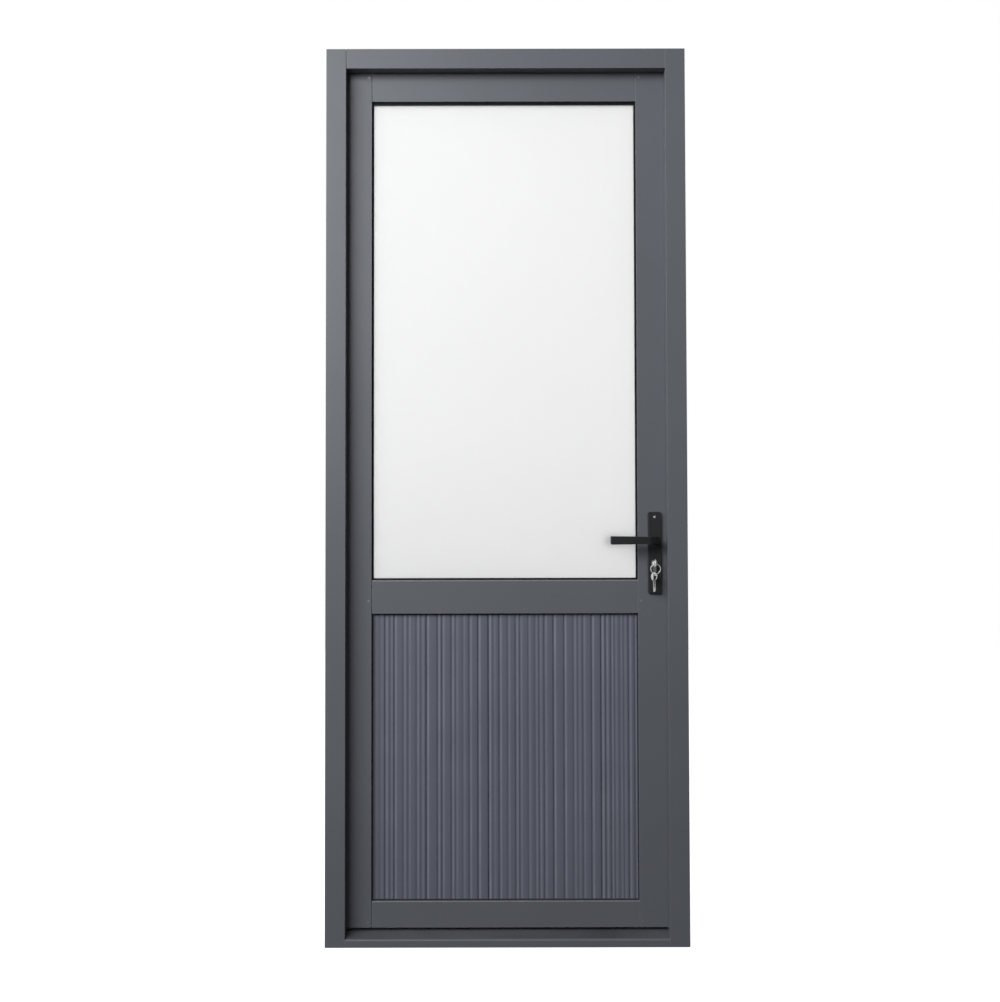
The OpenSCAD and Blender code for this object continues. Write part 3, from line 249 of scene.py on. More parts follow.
def coated(name, colour, edge, edge_share, roughness, peel_size=900.0, peel_depth=0.02,
           break_up=EDGE_BREAK_UP):
    """A powder-coated or enamelled metal; painted shade takes it to a quarter of its tone."""
    mat, tree, shader, place = start_material(name)
    marks = use_group(tree, wear_and_painted_light, Place=place, Break_up=break_up)
    shade_tone = tuple(c * 0.25 for c in colour)
    skin = use_group(tree, coat, Place=place, Coat_colour=(*colour, 1), Edge_colour=(*edge, 1),
                     Edge=calc(tree, "MULTIPLY", marks["Mask"], edge_share), Dirt_colour=(*shade_tone, 1),
                     Dirt=marks["Dirt"], Peel_size=peel_size, Base_roughness=roughness)
    tree.links.new(skin["Colour"], shader.inputs["Base Color"])
    tree.links.new(skin["Roughness"], shader.inputs["Roughness"])
    bump(tree, shader, skin["Peel"], 0.35, peel_depth * MM)
    return mat


def ground_metal(name, colour, stretch, roughness, depth=0.01, metal=1.0):
    """A bare metal with belt lines; a dull skin of nickel or zinc is less than all metal."""
    mat, tree, shader, place = start_material(name, Metallic=metal)
    mask = use_group(tree, wear_and_painted_light, Place=place)["Mask"]
    belt = use_group(tree, brushed, Place=place, Metal_colour=(*colour, 1), Line_stretch=stretch,
                     Edge=mask, Base_roughness=roughness)
    tree.links.new(belt["Colour"], shader.inputs["Base Color"])
    tree.links.new(belt["Roughness"], shader.inputs["Roughness"])
    bump(tree, shader, belt["Scratch"], 0.3, depth * MM)
    return mat


# %% Paints
finish = {}
finish["frame_paint"] = coated("slate_powder_coat", (0.148, 0.157, 0.176), (0.32, 0.33, 0.35), 0.6, 0.43)
# On the panel the paler edge colour is a painted highlight on each reed's lit flank, in patches along the
# height.
finish["panel_paint"] = coated("panel_powder_coat", (0.160, 0.166, 0.212), (0.36, 0.37, 0.44), 0.7, 0.36,
                               break_up=7.0)
finish["handle_paint"] = coated("black_satin_coat", (0.026, 0.0265, 0.030), (0.085, 0.085, 0.095), 0.6, 0.38,
                                peel_size=1400.0, peel_depth=0.01)

# %% [markdown]
# Bare metals: belt-ground steel for lock and strike, nickel-plated brass for the plugs, tumbled nickel for
# the keys and mill-finish aluminium for the hidden corner blocks. The lines run along the height of
# a part, because that is how long thin parts are fed through the belt.

# %% Metals
finish["lock_steel"] = ground_metal("ground_steel", (0.56, 0.57, 0.58), (700.0, 700.0, 14.0), 0.30)
finish["plug_brass"] = ground_metal("nickel_plated_brass", (0.93, 0.92, 0.89), (260.0, 900.0, 260.0), 0.42,
                                    metal=0.4)
finish["key_chrome"] = ground_metal("tumbled_nickel", (0.97, 0.97, 0.965), (160.0, 160.0, 160.0), 0.27,
                                    depth=0.004, metal=0.4)
pin_zinc = ground_metal("dull_zinc", (0.33, 0.34, 0.36), (300.0, 300.0, 300.0), 0.45, metal=0.7)
screw_steel = ground_metal("bright_screw_steel", (0.92, 0.92, 0.92), (500.0, 500.0, 500.0), 0.35, metal=0.6)
finish["cleat_aluminium"] = ground_metal("mill_aluminium", (0.72, 0.73, 0.74), (30.0, 900.0, 900.0), 0.38)

# %% [markdown]
# Rubber seals are dull black with a dusting that gathers in small patches. The plastic blocks have
# the faint grain of a moulding.

# %% Rubber and plastic
def moulded(name, colour, dusty, share, roughness, grain_scale, **constants):
    """A rubber or plastic with fine grain and a light dust."""
    mat, tree, shader, place = start_material(name, **constants)
    patch = add(tree, "MapRange", [("Value", noise(tree, place, 24.0, 4.0, 0.65)), ("From Min", 0.45),
                                   ("From Max", 0.75)]).outputs[0]
    dust = calc(tree, "MULTIPLY", patch, share)
    tree.links.new(blend_colour(tree, dust, (*colour, 1), (*dusty, 1)), shader.inputs["Base Color"])
    grain = noise(tree, place, grain_scale, 2.0)
    spread = calc(tree, "MULTIPLY_ADD", grain, 0.12, roughness - 0.06)
    tree.links.new(spread, shader.inputs["Roughness"])
    bump(tree, shader, grain, 0.4, 0.03 * MM)
    return mat


finish["seal_rubber"] = moulded("black_rubber", (0.009, 0.009, 0.010), (0.035, 0.035, 0.037), 0.4, 0.68,
                                700.0, Specular_IOR_Level=0.25)
panel_rubber = moulded("grey_rubber", (0.035, 0.036, 0.04), (0.07, 0.07, 0.075), 0.4, 0.6,
                       700.0, Specular_IOR_Level=0.3)
finish["grey_plastic"] = moulded("grey_nylon", (0.22, 0.22, 0.225), (0.3, 0.3, 0.3), 0.3, 0.5, 500.0)

# %% [markdown]
# ### Satin glass
#
# Acid-etched glass lets nearly all the light through but scatters it, so the pane glows evenly and
# nothing shows behind it. A rough transmission shader gives that glow, and a share of plain white
# reflection stands for the light that the etched skin throws back. The etch itself is a very fine
# noise in the height.

# %% Glass
pane_mat, tree, shader, place = start_material("satin_glass", Transmission_Weight=0.86, IOR=1.5,
                                               Specular_IOR_Level=0.5)
cloud = spread_noise(tree, noise(tree, place, 1.7, 3.0), 0.0, 1.0)
milk = blend_colour(tree, cloud, (0.972, 0.972, 0.968, 1), (0.992, 0.992, 0.988, 1))
tree.links.new(milk, shader.inputs["Base Color"])
etch = noise(tree, place, 1500.0, 2.0)
tree.links.new(calc(tree, "MULTIPLY_ADD", etch, 0.1, 0.42), shader.inputs["Roughness"])
bump(tree, shader, etch, 0.25, 0.01 * MM)
finish["satin_glass"] = pane_mat

# %% Give every solid its finish
slot_of = {part["node"]: part["material_slot"] for part in frame["record"]["subparts"]}
for name, solid in frame["nodes"].items():
    if not solid.material_slots:
        solid.data.materials.append(None)
    for mat_slot in solid.material_slots:
        mat_slot.link = "OBJECT"
        mat_slot.material = finish[slot_of[name]]
print("finishes:", sorted(finish), "on", len(frame["nodes"]), "solids")


# %% [markdown]
# ## Copies with eased edges
#
# A solid arrives as loose triangles. A copy is welded, its flat areas are joined into single faces,
# and the corners that the eye meets are bevelled. The width of the bevel is what says how a piece
# was made: half a millimetre on a coated extrusion, two on a cast lever. The faces of each bevel get
# the `edge` number that the rubbed-edge group reads.

# %% Helpers for pieces
def copy_of(node):
    """A bmesh of a solid, welded and with its flat areas joined."""
    bm = bmesh.new()
    bm.from_mesh(frame["nodes"][node].data)
    bmesh.ops.remove_doubles(bm, verts=bm.verts, dist=1e-6)
    bmesh.ops.dissolve_limit(bm, angle_limit=math.radians(0.4), verts=bm.verts, edges=bm.edges)
    for number in ("edge", "recess"):
        bm.faces.layers.float.new(number)
    return bm


def corner_edges(bm, hollow=False, least=40.0):
    """The sharp edges that stand proud, or with hollow the ones that lie in a corner."""
    found = []
    for e in bm.edges:
        if e.is_manifold and e.calc_face_angle() > math.radians(least) and e.is_convex != hollow:
            found.append(e)
    return found


def ease(bm, edges, width, segments=3):
    """Rounds those edges and marks the new faces."""
    layer = bm.faces.layers.float["edge"]
    made = bmesh.ops.bevel(bm, geom=edges, offset=width, offset_type="OFFSET", segments=segments,
                           profile=0.5, affect="EDGES", clamp_overlap=False, loop_slide=False, material=-1)
    for f in made["faces"]:
        f[layer] = 1.0


def place_piece(name, bm, slot, body, stands_for, sharp):
    """Turns a bmesh into a piece with its finish, on its body, in place of its solids."""
    mesh = bpy.data.meshes.new(name)
    bm.to_mesh(mesh)
    bm.free()
    mesh.polygons.foreach_set("use_smooth", [True] * len(mesh.polygons))
    mesh.set_sharp_from_angle(angle=math.radians(sharp))
    mesh.materials.append(finish[slot])
    obj = bpy.data.objects.new(name, mesh)
    bpy.context.scene.collection.objects.link(obj)
    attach(obj, body)
    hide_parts(*stands_for)
    even = obj.modifiers.new("even shading", "WEIGHTED_NORMAL")
    even.keep_sharp = True
    return obj


def finished(node, bm, sharp=38.0):
    """A piece that stands for one solid."""
    return place_piece(node + "_finished", bm, slot_of[node], body_of_node[node], (node,), sharp)


X, Y, Z = 0, 1, 2
LONG_EDGE = 12 * MM


def runs_along(e, axes, least=LONG_EDGE):
    """Whether an edge is parallel to one of these axes and at least that long."""
    d = e.verts[1].co - e.verts[0].co
    return d.length >= least and any(abs(d[a]) > 0.999 * d.length for a in axes)


def shift(bm, axis, level, by, within=0.02 * MM):
    """Moves every vertex that lies at one level of an axis."""
    for v in bm.verts:
        if abs(v.co[axis] - level) < within:
            v.co[axis] += by


def slice_through(bm, axis, level):
    """Cuts a line all round a mesh at one level of an axis."""
    point, normal = Vector((0, 0, 0)), Vector((0, 0, 0))
    point[axis], normal[axis] = level, 1.0
    bmesh.ops.bisect_plane(bm, geom=bm.verts[:] + bm.edges[:] + bm.faces[:], dist=1e-7, plane_co=point,
                           plane_no=normal)


# %% [markdown]
# ## Extruded bars
#
# Jambs, head, sill, stiles, rails and glazing beads are hollow bars cut from long extrusions. The
# edges that run along a bar are rounded by the die. The saw cut at a bar's end stays almost sharp,
# but both sides of a joint still catch a hair of light, so the end edges get the same treatment.
# On the hinge side each butt joint is open by a fraction of a millimetre, which draws a fine dark
# line. The lips that face up, under the glass and under the boards, have a wider slope on them.

# %% Frame and leaf bars
BAR_EASE = {"jamb_hinge_side": 0.5, "jamb_lock_side": 0.5, "head": 0.5, "sill": 0.6,
            "stile_hinge_side": 0.6, "stile_lock_side": 0.6, "top_rail": 0.6, "mid_rail": 0.9,
            "bottom_rail": 0.9, "glass_beads_level": 0.4, "glass_beads_upright": 0.4,
            "panel_beads_level": 0.4, "panel_beads_upright": 0.4}
OPEN_JOINT = {"head": 0.9, "top_rail": 1.2, "mid_rail": 1.2, "bottom_rail": 1.2}
END_ROUND = 1.5
LIP_SLOPE = {"mid_rail": 3.2, "bottom_rail": 2.4}
SILL_PAINTED_SHADE, SILL_NOSE = 0.5, 4.5 * MM
NEAR = 0.1 * MM


def at_left_end(e, front, end):
    """Whether an edge stands on a bar's front face, at its left end."""
    return runs_along(e, (Z,)) and all(v.co.y < front and abs(v.co.x - end) < 1e-5 for v in e.verts)


def on_top_lip(e, front, top):
    """Whether an edge runs along a bar's upper front corner."""
    return runs_along(e, (X,), 100 * MM) and all(v.co.z > top and v.co.y < front for v in e.verts)


for node, width in BAR_EASE.items():
    bar = copy_of(node)
    lo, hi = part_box(node)
    front = lo.y + NEAR
    if node in OPEN_JOINT:
        left_end = min(v.co.x for v in bar.verts if v.co.y < front)
        shift(bar, X, left_end, OPEN_JOINT[node] * MM)
        left_end += OPEN_JOINT[node] * MM
        ease(bar, [e for e in corner_edges(bar) if at_left_end(e, front, left_end)], END_ROUND * MM)
    if node in LIP_SLOPE:
        lip = [e for e in corner_edges(bar) if on_top_lip(e, front, hi.z - NEAR)]
        ease(bar, lip, LIP_SLOPE[node] * MM, 4)
    ease(bar, [e for e in corner_edges(bar) if runs_along(e, (X, Z))], width * MM)
    if node == "sill":
        # The sill's upward faces behind its nose are painted darker, a painted shade.
        tread_shade = bar.faces.layers.float["recess"]
        for f in bar.faces:
            if f.normal.z > 0.6 and f.calc_center_median().y > lo.y + SILL_NOSE:
                f[tread_shade] = SILL_PAINTED_SHADE
    finished(node, bar)
print("bars eased:", len(BAR_EASE))

# %% [markdown]
# ## Gaskets and pane
#
# The black line round the glass is the lip of a rubber gasket pressed against the pane. Its free
# edge is round, so light slides off it. It shows a little more at the head, where the pane hangs
# lower than the bar. The panel's gasket is grey, so it hardly shows where light falls on it. The
# glass has ground edges, hidden in the bars.

# %% How far the gasket's lip shows past its solid, in millimetres
LIP_SHOWS, TOP_LIP_SHOWS = 1.9, 4.5

# %% Gaskets, bottom seal and pane
for node, width in (("glass_gasket_outside", 1.2), ("glass_gasket_inside", 1.2), ("panel_gaskets", 1.2),
                    ("bottom_seal", 0.8), ("glass_pane", 0.8)):
    soft = copy_of(node)
    if node == "glass_gasket_outside":
        lo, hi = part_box(node)
        middle = (lo + hi) / 2
        inner_x = max(v.co.x for v in soft.verts if v.co.x < middle.x)
        inner_low = max(v.co.z for v in soft.verts if v.co.z < middle.z)
        inner_high = min(v.co.z for v in soft.verts if v.co.z > middle.z)
        shift(soft, X, inner_x, LIP_SHOWS * MM)
        shift(soft, X, min(v.co.x for v in soft.verts if v.co.x > middle.x), -LIP_SHOWS * MM)
        shift(soft, Z, inner_low, LIP_SHOWS * MM)
        shift(soft, Z, inner_high, -TOP_LIP_SHOWS * MM)
    ease(soft, [e for e in corner_edges(soft) if runs_along(e, (X, Z))], width * MM)
    piece = finished(node, soft)
    if node == "panel_gaskets":
        piece.data.materials[0] = panel_rubber

# %% [markdown]
# ## Reeded boards
#
# The lower panel is made of three extruded boards that clip together. Each has low reeds with narrow
# grooves between them. A groove drops steeply on its left and rises gently on its right, and no two
# are quite alike. A board starts as its plain stepped outline, drawn up to its height. Upright planes
# then slice it where a groove or a crown needs a line, and the lines on the front are pushed back to
# the depth that the profile asks for there. Moving a few lines keeps the mesh light, where a displaced
# grid would need thousands of faces. Each groove is painted darker, a painted shade, and the ridge
# beside it is painted paler, a painted highlight.

# %% Groove places and depths, in millimetres from the door's middle
GROOVES = [(-376, 0.5), (-356.5, 0.25), (-341.5, 0.2), (-328.4, 1.2), (-314.8, 0.6), (-304, 1.25),
           (-279.6, 0.8), (-266.4, 0.6), (-244, 0.8), (-231.2, 0.55), (-217.2, 1.6), (-187.4, 1.25),
           (-175.2, 1.0), (-149.9, 1.2), (-138.6, 0.5), (-119, 0.45), (-101.6, 0.95), (-78, 1.45),
           (-50, 1.9), (-37, 0.3), (-20.8, 1.1), (2, 0.7), (23.4, 1.05), (35, 0.6), (57.4, 0.65),
           (75.8, 0.6), (87, 0.7), (101, 0.8), (125.4, 1.4), (154, 1.2), (179.4, 0.75), (191.6, 0.35),
           (205, 0.65), (228.2, 1.2), (254, 1.6), (266.6, 0.95), (281, 0.95), (290.4, 0.5),
           (304.6, 0.45), (315, 0.4), (328.6, 1.05), (344.6, 0.8), (366, 0.5)]
FIRST_GROOVE, LAST_GROOVE = GROOVES[0][0], GROOVES[-1][0]
LEFT_FLANK, RIGHT_FLANK, CROWN_DROP, CROWN_HALF = 3.0, 8.5, 0.45, 11.0
DEEPEST, MOST_CUT, FLANK_CURVE = 1.9, 1.95, 1.3
# How strongly the grooves are painted darker, as painted shade.
GROOVE_PAINTED_SHADE = 0.8


def right_flank(a, b):
    """How wide the gentle flank is that rises from groove a towards groove b."""
    return min(RIGHT_FLANK, 0.8 * (b - a))


def neighbours(x):
    """The grooves on both sides of x with their depths, and the left one's right flank."""
    for (a, deep_a), (b, deep_b) in zip(GROOVES, GROOVES[1:]):
        if a <= x <= b:
            return a, deep_a, b, deep_b, right_flank(a, b)


def face_depth(x):
    """How far the reeded face lies behind its foremost line, at x, all in millimetres."""
    a, deep_a, b, deep_b, right = neighbours(x)
    middle, half = (a + b) / 2, (b - a) / 2
    sag = CROWN_DROP * min(1.0, half / CROWN_HALF) * ((x - middle) / half) ** 2
    after = deep_a * max(0.0, 1 - (x - a) / right) ** FLANK_CURVE
    before = deep_b * max(0.0, 1 - (b - x) / LEFT_FLANK) ** FLANK_CURVE
    return min(MOST_CUT, sag + max(after, before))


def board_lines(x0, x1, clear=0.3):
    """The upright lines that one board needs between x0 and x1."""
    lines = set()
    for (a, _), (b, _) in zip(GROOVES, GROOVES[1:]):
        right = right_flank(a, b)
        lines.update((a, b - LEFT_FLANK, b - LEFT_FLANK / 2))
        lines.update(a + right * share for share in (0.15, 0.35, 0.6, 0.8, 1.0))
        if b - LEFT_FLANK > a + right + 2.0:
            lines.add((b - LEFT_FLANK + a + right) / 2)
    return sorted(x for x in lines if x0 + clear < x < x1 - clear)


# %% Make the three boards
LAP_X, LAP_Y, BOARD_GAP = 20.4, 6.0, 0.4
boards = ["panel_board_left", "panel_board_middle", "panel_board_right"]
joints = [FIRST_GROOVE, -50.0, 254.0, LAST_GROOVE]
for i, node in enumerate(boards):
    lo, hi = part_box(node)
    front, back = lo.y / MM, hi.y / MM
    x0 = joints[i] + (BOARD_GAP if i else 0.0)
    x1 = joints[i + 1]
    outline = [(x0, front), (x1, front)]
    if i < 2:
        outline += [(x1, front + LAP_Y), (x1 - LAP_X, front + LAP_Y), (x1 - LAP_X, back)]
    else:
        outline += [(x1, back)]
    if i:
        x_tongue = x0 - LAP_X + 2 * BOARD_GAP
        outline += [(x_tongue, back), (x_tongue, front + LAP_Y + BOARD_GAP),
                    (x0, front + LAP_Y + BOARD_GAP)]
    else:
        outline += [(x0, back)]
    board = bmesh.new()
    ridge_highlight, groove_shade = (board.verts.layers.float.new(number) for number in ("edge", "recess"))
    foot = board.faces.new([board.verts.new((x * MM, y * MM, lo.z)) for x, y in outline])
    drawn = bmesh.ops.extrude_face_region(board, geom=[foot])["geom"]
    bmesh.ops.translate(board, vec=(0, 0, hi.z - lo.z),
                        verts=[v for v in drawn if isinstance(v, bmesh.types.BMVert)])
    for x in board_lines(x0, x1):
        slice_through(board, X, x * MM)
    for v in board.verts:
        if abs(v.co.y - lo.y) < 1e-6:
            x = min(LAST_GROOVE - 0.1, max(FIRST_GROOVE + 0.1, v.co.x / MM))
            v.co.y += face_depth(x) * MM
            a, deep_a, b, deep_b, right = neighbours(x)
            after, before = (x - a) / right, (b - x) / LEFT_FLANK
            # Painted shade in each groove, and a painted highlight on the flank to its right.
            v[groove_shade] = GROOVE_PAINTED_SHADE * max((1 - after / 0.35) * deep_a, (1 - before) * deep_b, 0.0) / DEEPEST
            v[ridge_highlight] = max(0.0, 1 - abs(after - 0.62) / 0.4) * min(1.0, 0.25 + deep_a / DEEPEST)
    bmesh.ops.recalc_face_normals(board, faces=board.faces)
    finished(node, board, sharp=60.0)
print("boards:", len(boards), "with", len(GROOVES), "grooves")

# %% [markdown]
# ## Screws with a cross recess
#
# Every visible screw is a countersunk head with a cross. The recess is cut out of the head with two
# thin tapered wedges set crosswise. One boolean cut does all the heads of a node at a time.

# %% Cross recess cutter
CROSS_TURN, WEDGE_FOOT = 0.5, 0.35


def recess(bm, centre, out, reach, deep, thin):
    """Two tapered wedges at a head's centre; out is the direction that the head faces."""
    for turn in (CROSS_TURN, CROSS_TURN + math.pi / 2):
        made = bmesh.ops.create_cube(bm, size=1.0)["verts"]
        for v in made:
            taper = 1.0 if v.co.z > 0 else WEDGE_FOOT
            v.co = Vector((v.co.x * 2 * reach * taper, v.co.y * thin * taper, v.co.z * deep * 2))
        turned = out.to_track_quat("Z", "Y").to_matrix().to_4x4() @ Matrix.Rotation(turn, 4, "Z")
        bmesh.ops.transform(bm, matrix=Matrix.Translation(centre) @ turned, verts=made)


def cut_away(obj, cutter_bm):
    """Takes a cutter out of a piece and keeps the result as its mesh."""
    mesh = bpy.data.meshes.new("cutter")
    cutter_bm.to_mesh(mesh)
    cutter_bm.free()
    tool = bpy.data.objects.new("cutter", mesh)
    bpy.context.scene.collection.objects.link(tool)
    cut = obj.modifiers.new("recess", "BOOLEAN")
    cut.operation, cut.object, cut.solver, cut.use_self = "DIFFERENCE", tool, "EXACT", True
    for other in [m for m in obj.modifiers if m != cut]:
        other.show_viewport = False
    seen = obj.evaluated_get(bpy.context.evaluated_depsgraph_get())
    result = bpy.data.meshes.new_from_object(seen)
    obj.modifiers.remove(cut)
    for other in obj.modifiers:
        other.show_viewport = True
    bpy.data.objects.remove(tool)
    print(obj.name, "corners before and after the cut:", len(obj.data.vertices), len(result.vertices))
    obj.data = result
    return obj


def islands(bm):
    """The separate solids of a bmesh, each as a list of its vertices."""
    left, groups = set(bm.verts), []
    while left:
        todo, group = [left.pop()], []
        while todo:
            v = todo.pop()
            group.append(v)
            for e in v.link_edges:
                w = e.other_vert(v)
                if w in left:
                    left.remove(w)
                    todo.append(w)
        groups.append(group)
    return groups


# %% Cut every screw head
SCREWS = {"plate_screws": (Y, 1.3, 0.8, 0.5), "hinge_frame_screws": (Y, 2.3, 1.5, 0.8),
          "hinge_leaf_screws": (Y, 2.3, 1.5, 0.8), "lock_screws": (X, 2.5, 1.6, 0.9),
          "strike_screws": (X, 2.0, 1.4, 0.8)}
PLATE_SCREW_ROUND = 1.1 * MM
lo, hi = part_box("plate_screws")
middle_y, half_y = (lo.y + hi.y) / 2, (hi.y - lo.y) / 2
for node, (axis, reach, deep, thin) in SCREWS.items():
    screws = copy_of(node)
    if node == "plate_screws":
        rims = [e for e in corner_edges(screws)
                if all(abs(abs(v.co.y - middle_y) - half_y) < 1e-5 for v in e.verts)]
        ease(screws, rims, PLATE_SCREW_ROUND, 4)
    cutter = bmesh.new()
    for group in islands(screws):
        points = [v.co for v in group]
        lo = Vector([min(p[a] for p in points) for a in range(3)])
        hi = Vector([max(p[a] for p in points) for a in range(3)])
        centre = (lo + hi) / 2
        if axis == Y:
            sign = -1.0 if node == "plate_screws" and centre.y < middle_y else 1.0
        else:
            sign = 1.0 if node == "lock_screws" else -1.0
        out = Vector((0, 0, 0))
        out[axis] = sign
        centre[axis] = hi[axis] if sign > 0 else lo[axis]
        recess(cutter, centre, out, reach * MM, deep * MM, thin * MM)
    piece = cut_away(finished(node, screws, sharp=30.0), cutter)
    if node == "plate_screws":
        piece.data.materials[0] = screw_steel
print("screw sets cut:", len(SCREWS))

# %% [markdown]
# ## Hinges
#
# Three lift-off butts carry the leaf on the inside face. Each knuckle is a short tube, so only its
# rims are eased. The pin ends in a cap with a rounded rim. The small pins that lock each rail to its
# cleat are driven in after coating, so their heads are bare.

# %% Hinge wings and pins
WING_ROUND, PIN_ROUND, CLEAT_PIN_ROUND = 0.35 * MM, 0.7 * MM, 0.15 * MM
for n in (1, 2, 3):
    for node in (f"hinge_frame_wing_{n}", f"hinge_leaf_wing_{n}"):
        wing = copy_of(node)
        ease(wing, corner_edges(wing, least=50.0), WING_ROUND, 2)
        finished(node, wing)
pins = copy_of("hinge_pins")
ease(pins, corner_edges(pins, least=50.0), PIN_ROUND, 3)
finished("hinge_pins", pins)
driven_pins = copy_of("cleat_pins")
ease(driven_pins, corner_edges(driven_pins), CLEAT_PIN_ROUND, 2)
finished("cleat_pins", driven_pins).data.materials[0] = pin_zinc

# %% [markdown]
# ## Handles
#
# The plates are die-cast covers with a soft outer rim. A border of whole faces is cut round each front
# first, because a bevel goes astray where long thin faces meet it. The levers are cast too: a flat arm
# with its edges rolled over, on a round neck. Where the neck meets the arm, a casting has a fillet and
# never a sharp inside corner, so that joint is bevelled the other way round. The heel, past the neck,
# slopes back towards the door. A plane cuts the arm there, and everything beyond it is sheared. The
# heel's coat is painted darker than the arm's, a painted shade for the shadow at the lever's root.

# %% Plates
CLEAN_HALF, FOOT_BORDER = 11.5 * MM, 8 * MM
RIM_SIDE, RIM_END = 12 * MM, 5 * MM
RIM_ROUND, HOLE_ROUND = 1.6 * MM, 0.3 * MM
for node in ("handle_plate_outside", "handle_plate_inside"):
    lo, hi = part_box(node)
    face_y = lo.y if node.endswith("outside") else hi.y
    mid_x = (lo.x + hi.x) / 2
    plate = copy_of(node)
    foot_z, top_z = lo.z + FOOT_BORDER, hi.z - FOOT_BORDER
    for level in (foot_z, top_z):
        slice_through(plate, Z, level)
    for level in (mid_x - CLEAN_HALF, mid_x + CLEAN_HALF):
        slice_through(plate, X, level)
    strips = {}
    for f in plate.faces:
        m = f.calc_center_median()
        if abs(m.y - face_y) < 1e-6:
            if abs(m.x - mid_x) > CLEAN_HALF:
                strips.setdefault("left" if m.x < mid_x else "right", []).append(f)
            elif m.z < foot_z or m.z > top_z:
                strips.setdefault("foot" if m.z < foot_z else "top", []).append(f)
    for strip in strips.values():
        bmesh.ops.dissolve_faces(plate, faces=strip)
    rim, holes = [], []
    for e in corner_edges(plate, least=35.0):
        m = (e.verts[0].co + e.verts[1].co) / 2
        if abs(m.y - face_y) < 1e-5 and all(abs(v.co.y - face_y) < 1e-5 for v in e.verts):
            outer = abs(m.x - mid_x) > RIM_SIDE or not lo.z + RIM_END <= m.z <= hi.z - RIM_END
            (rim if outer else holes).append(e)
    ease(plate, rim, RIM_ROUND, 4)
    ease(plate, [e for e in holes if e.is_valid], HOLE_ROUND, 2)
    finished(node, plate, sharp=45.0)


# %% Levers
ARM_THICK, ARM_ROUND, NECK_FILLET = 12 * MM, 1.7 * MM, 1.5 * MM
HEEL_X, HEEL_BACK, HEEL_PAINTED_SHADE = 381 * MM, 19 * MM, 0.6


def flat_to_face(e):
    """Whether an edge lies parallel to the door's face."""
    return abs(e.verts[0].co.y - e.verts[1].co.y) < 1e-6


for node in ("lever_outside", "lever_inside"):
    lo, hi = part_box(node)
    side = 1.0 if node.endswith("outside") else -1.0
    arm = (lo.y, lo.y + ARM_THICK) if side > 0 else (hi.y - ARM_THICK, hi.y)
    back_of_arm = arm[1] if side > 0 else arm[0]
    lever = copy_of(node)
    rolled = [e for e in corner_edges(lever) if flat_to_face(e)
              and all(arm[0] - 1e-5 < v.co.y < arm[1] + 1e-5 for v in e.verts)]
    ease(lever, rolled, ARM_ROUND, 4)
    inside_corner = [e for e in corner_edges(lever, hollow=True) if flat_to_face(e)
                     and abs(e.verts[0].co.y - back_of_arm) < 1e-5]
    ease(lever, inside_corner, NECK_FILLET, 4)
    slice_through(lever, X, HEEL_X)
    for v in lever.verts:
        if v.co.x > HEEL_X and side * (v.co.y - back_of_arm) < 2 * MM:
            v.co.y += side * HEEL_BACK * (v.co.x - HEEL_X) / (hi.x - HEEL_X)
    bmesh.ops.triangulate(lever, faces=[f for f in lever.faces if len(f.verts) > 4])
    # The heel's faces take painted shade: a darker coat for the shadow at the lever's root.
    heel_shade = lever.faces.layers.float["recess"]
    for f in lever.faces:
        if f.calc_center_median().x > HEEL_X:
            f[heel_shade] = HEEL_PAINTED_SHADE
    finished(node, lever, sharp=45.0)
print("levers: heel starts at x, mm:", round(HEEL_X / MM), "and slopes back, mm:", round(HEEL_BACK / MM))

# %% [markdown]
# ## Lock, strike and keys
#
# Stamped steel has a tiny burr-free edge, about a third of a millimetre. The latch and the deadbolt
# are ground bars with a slightly larger one.

# %% Lock furniture
for node, width, segments in (("lock_faceplate", 0.35, 2), ("strike_plate", 0.3, 2), ("latch_bolt", 0.5, 3),
                              ("deadbolt", 0.6, 3), ("cylinder_body", 0.35, 2),
                              ("cylinder_plug_outside", 0.25, 2), ("cylinder_plug_inside", 0.25, 2)):
    metal = copy_of(node)
    ease(metal, corner_edges(metal, least=50.0), width * MM, segments)
    finished(node, metal)

# %% [markdown]
# A key is stamped from sheet. Both sides of the bow are pressed in a little, which leaves a raised
# rim, and then every edge is tumbled smooth. The inset operator makes the pressed field, because it
# keeps an even rim however the bow is shaped. The spare key hangs free on the ring, so it is turned a
# little and its tip stands a little off the plate.

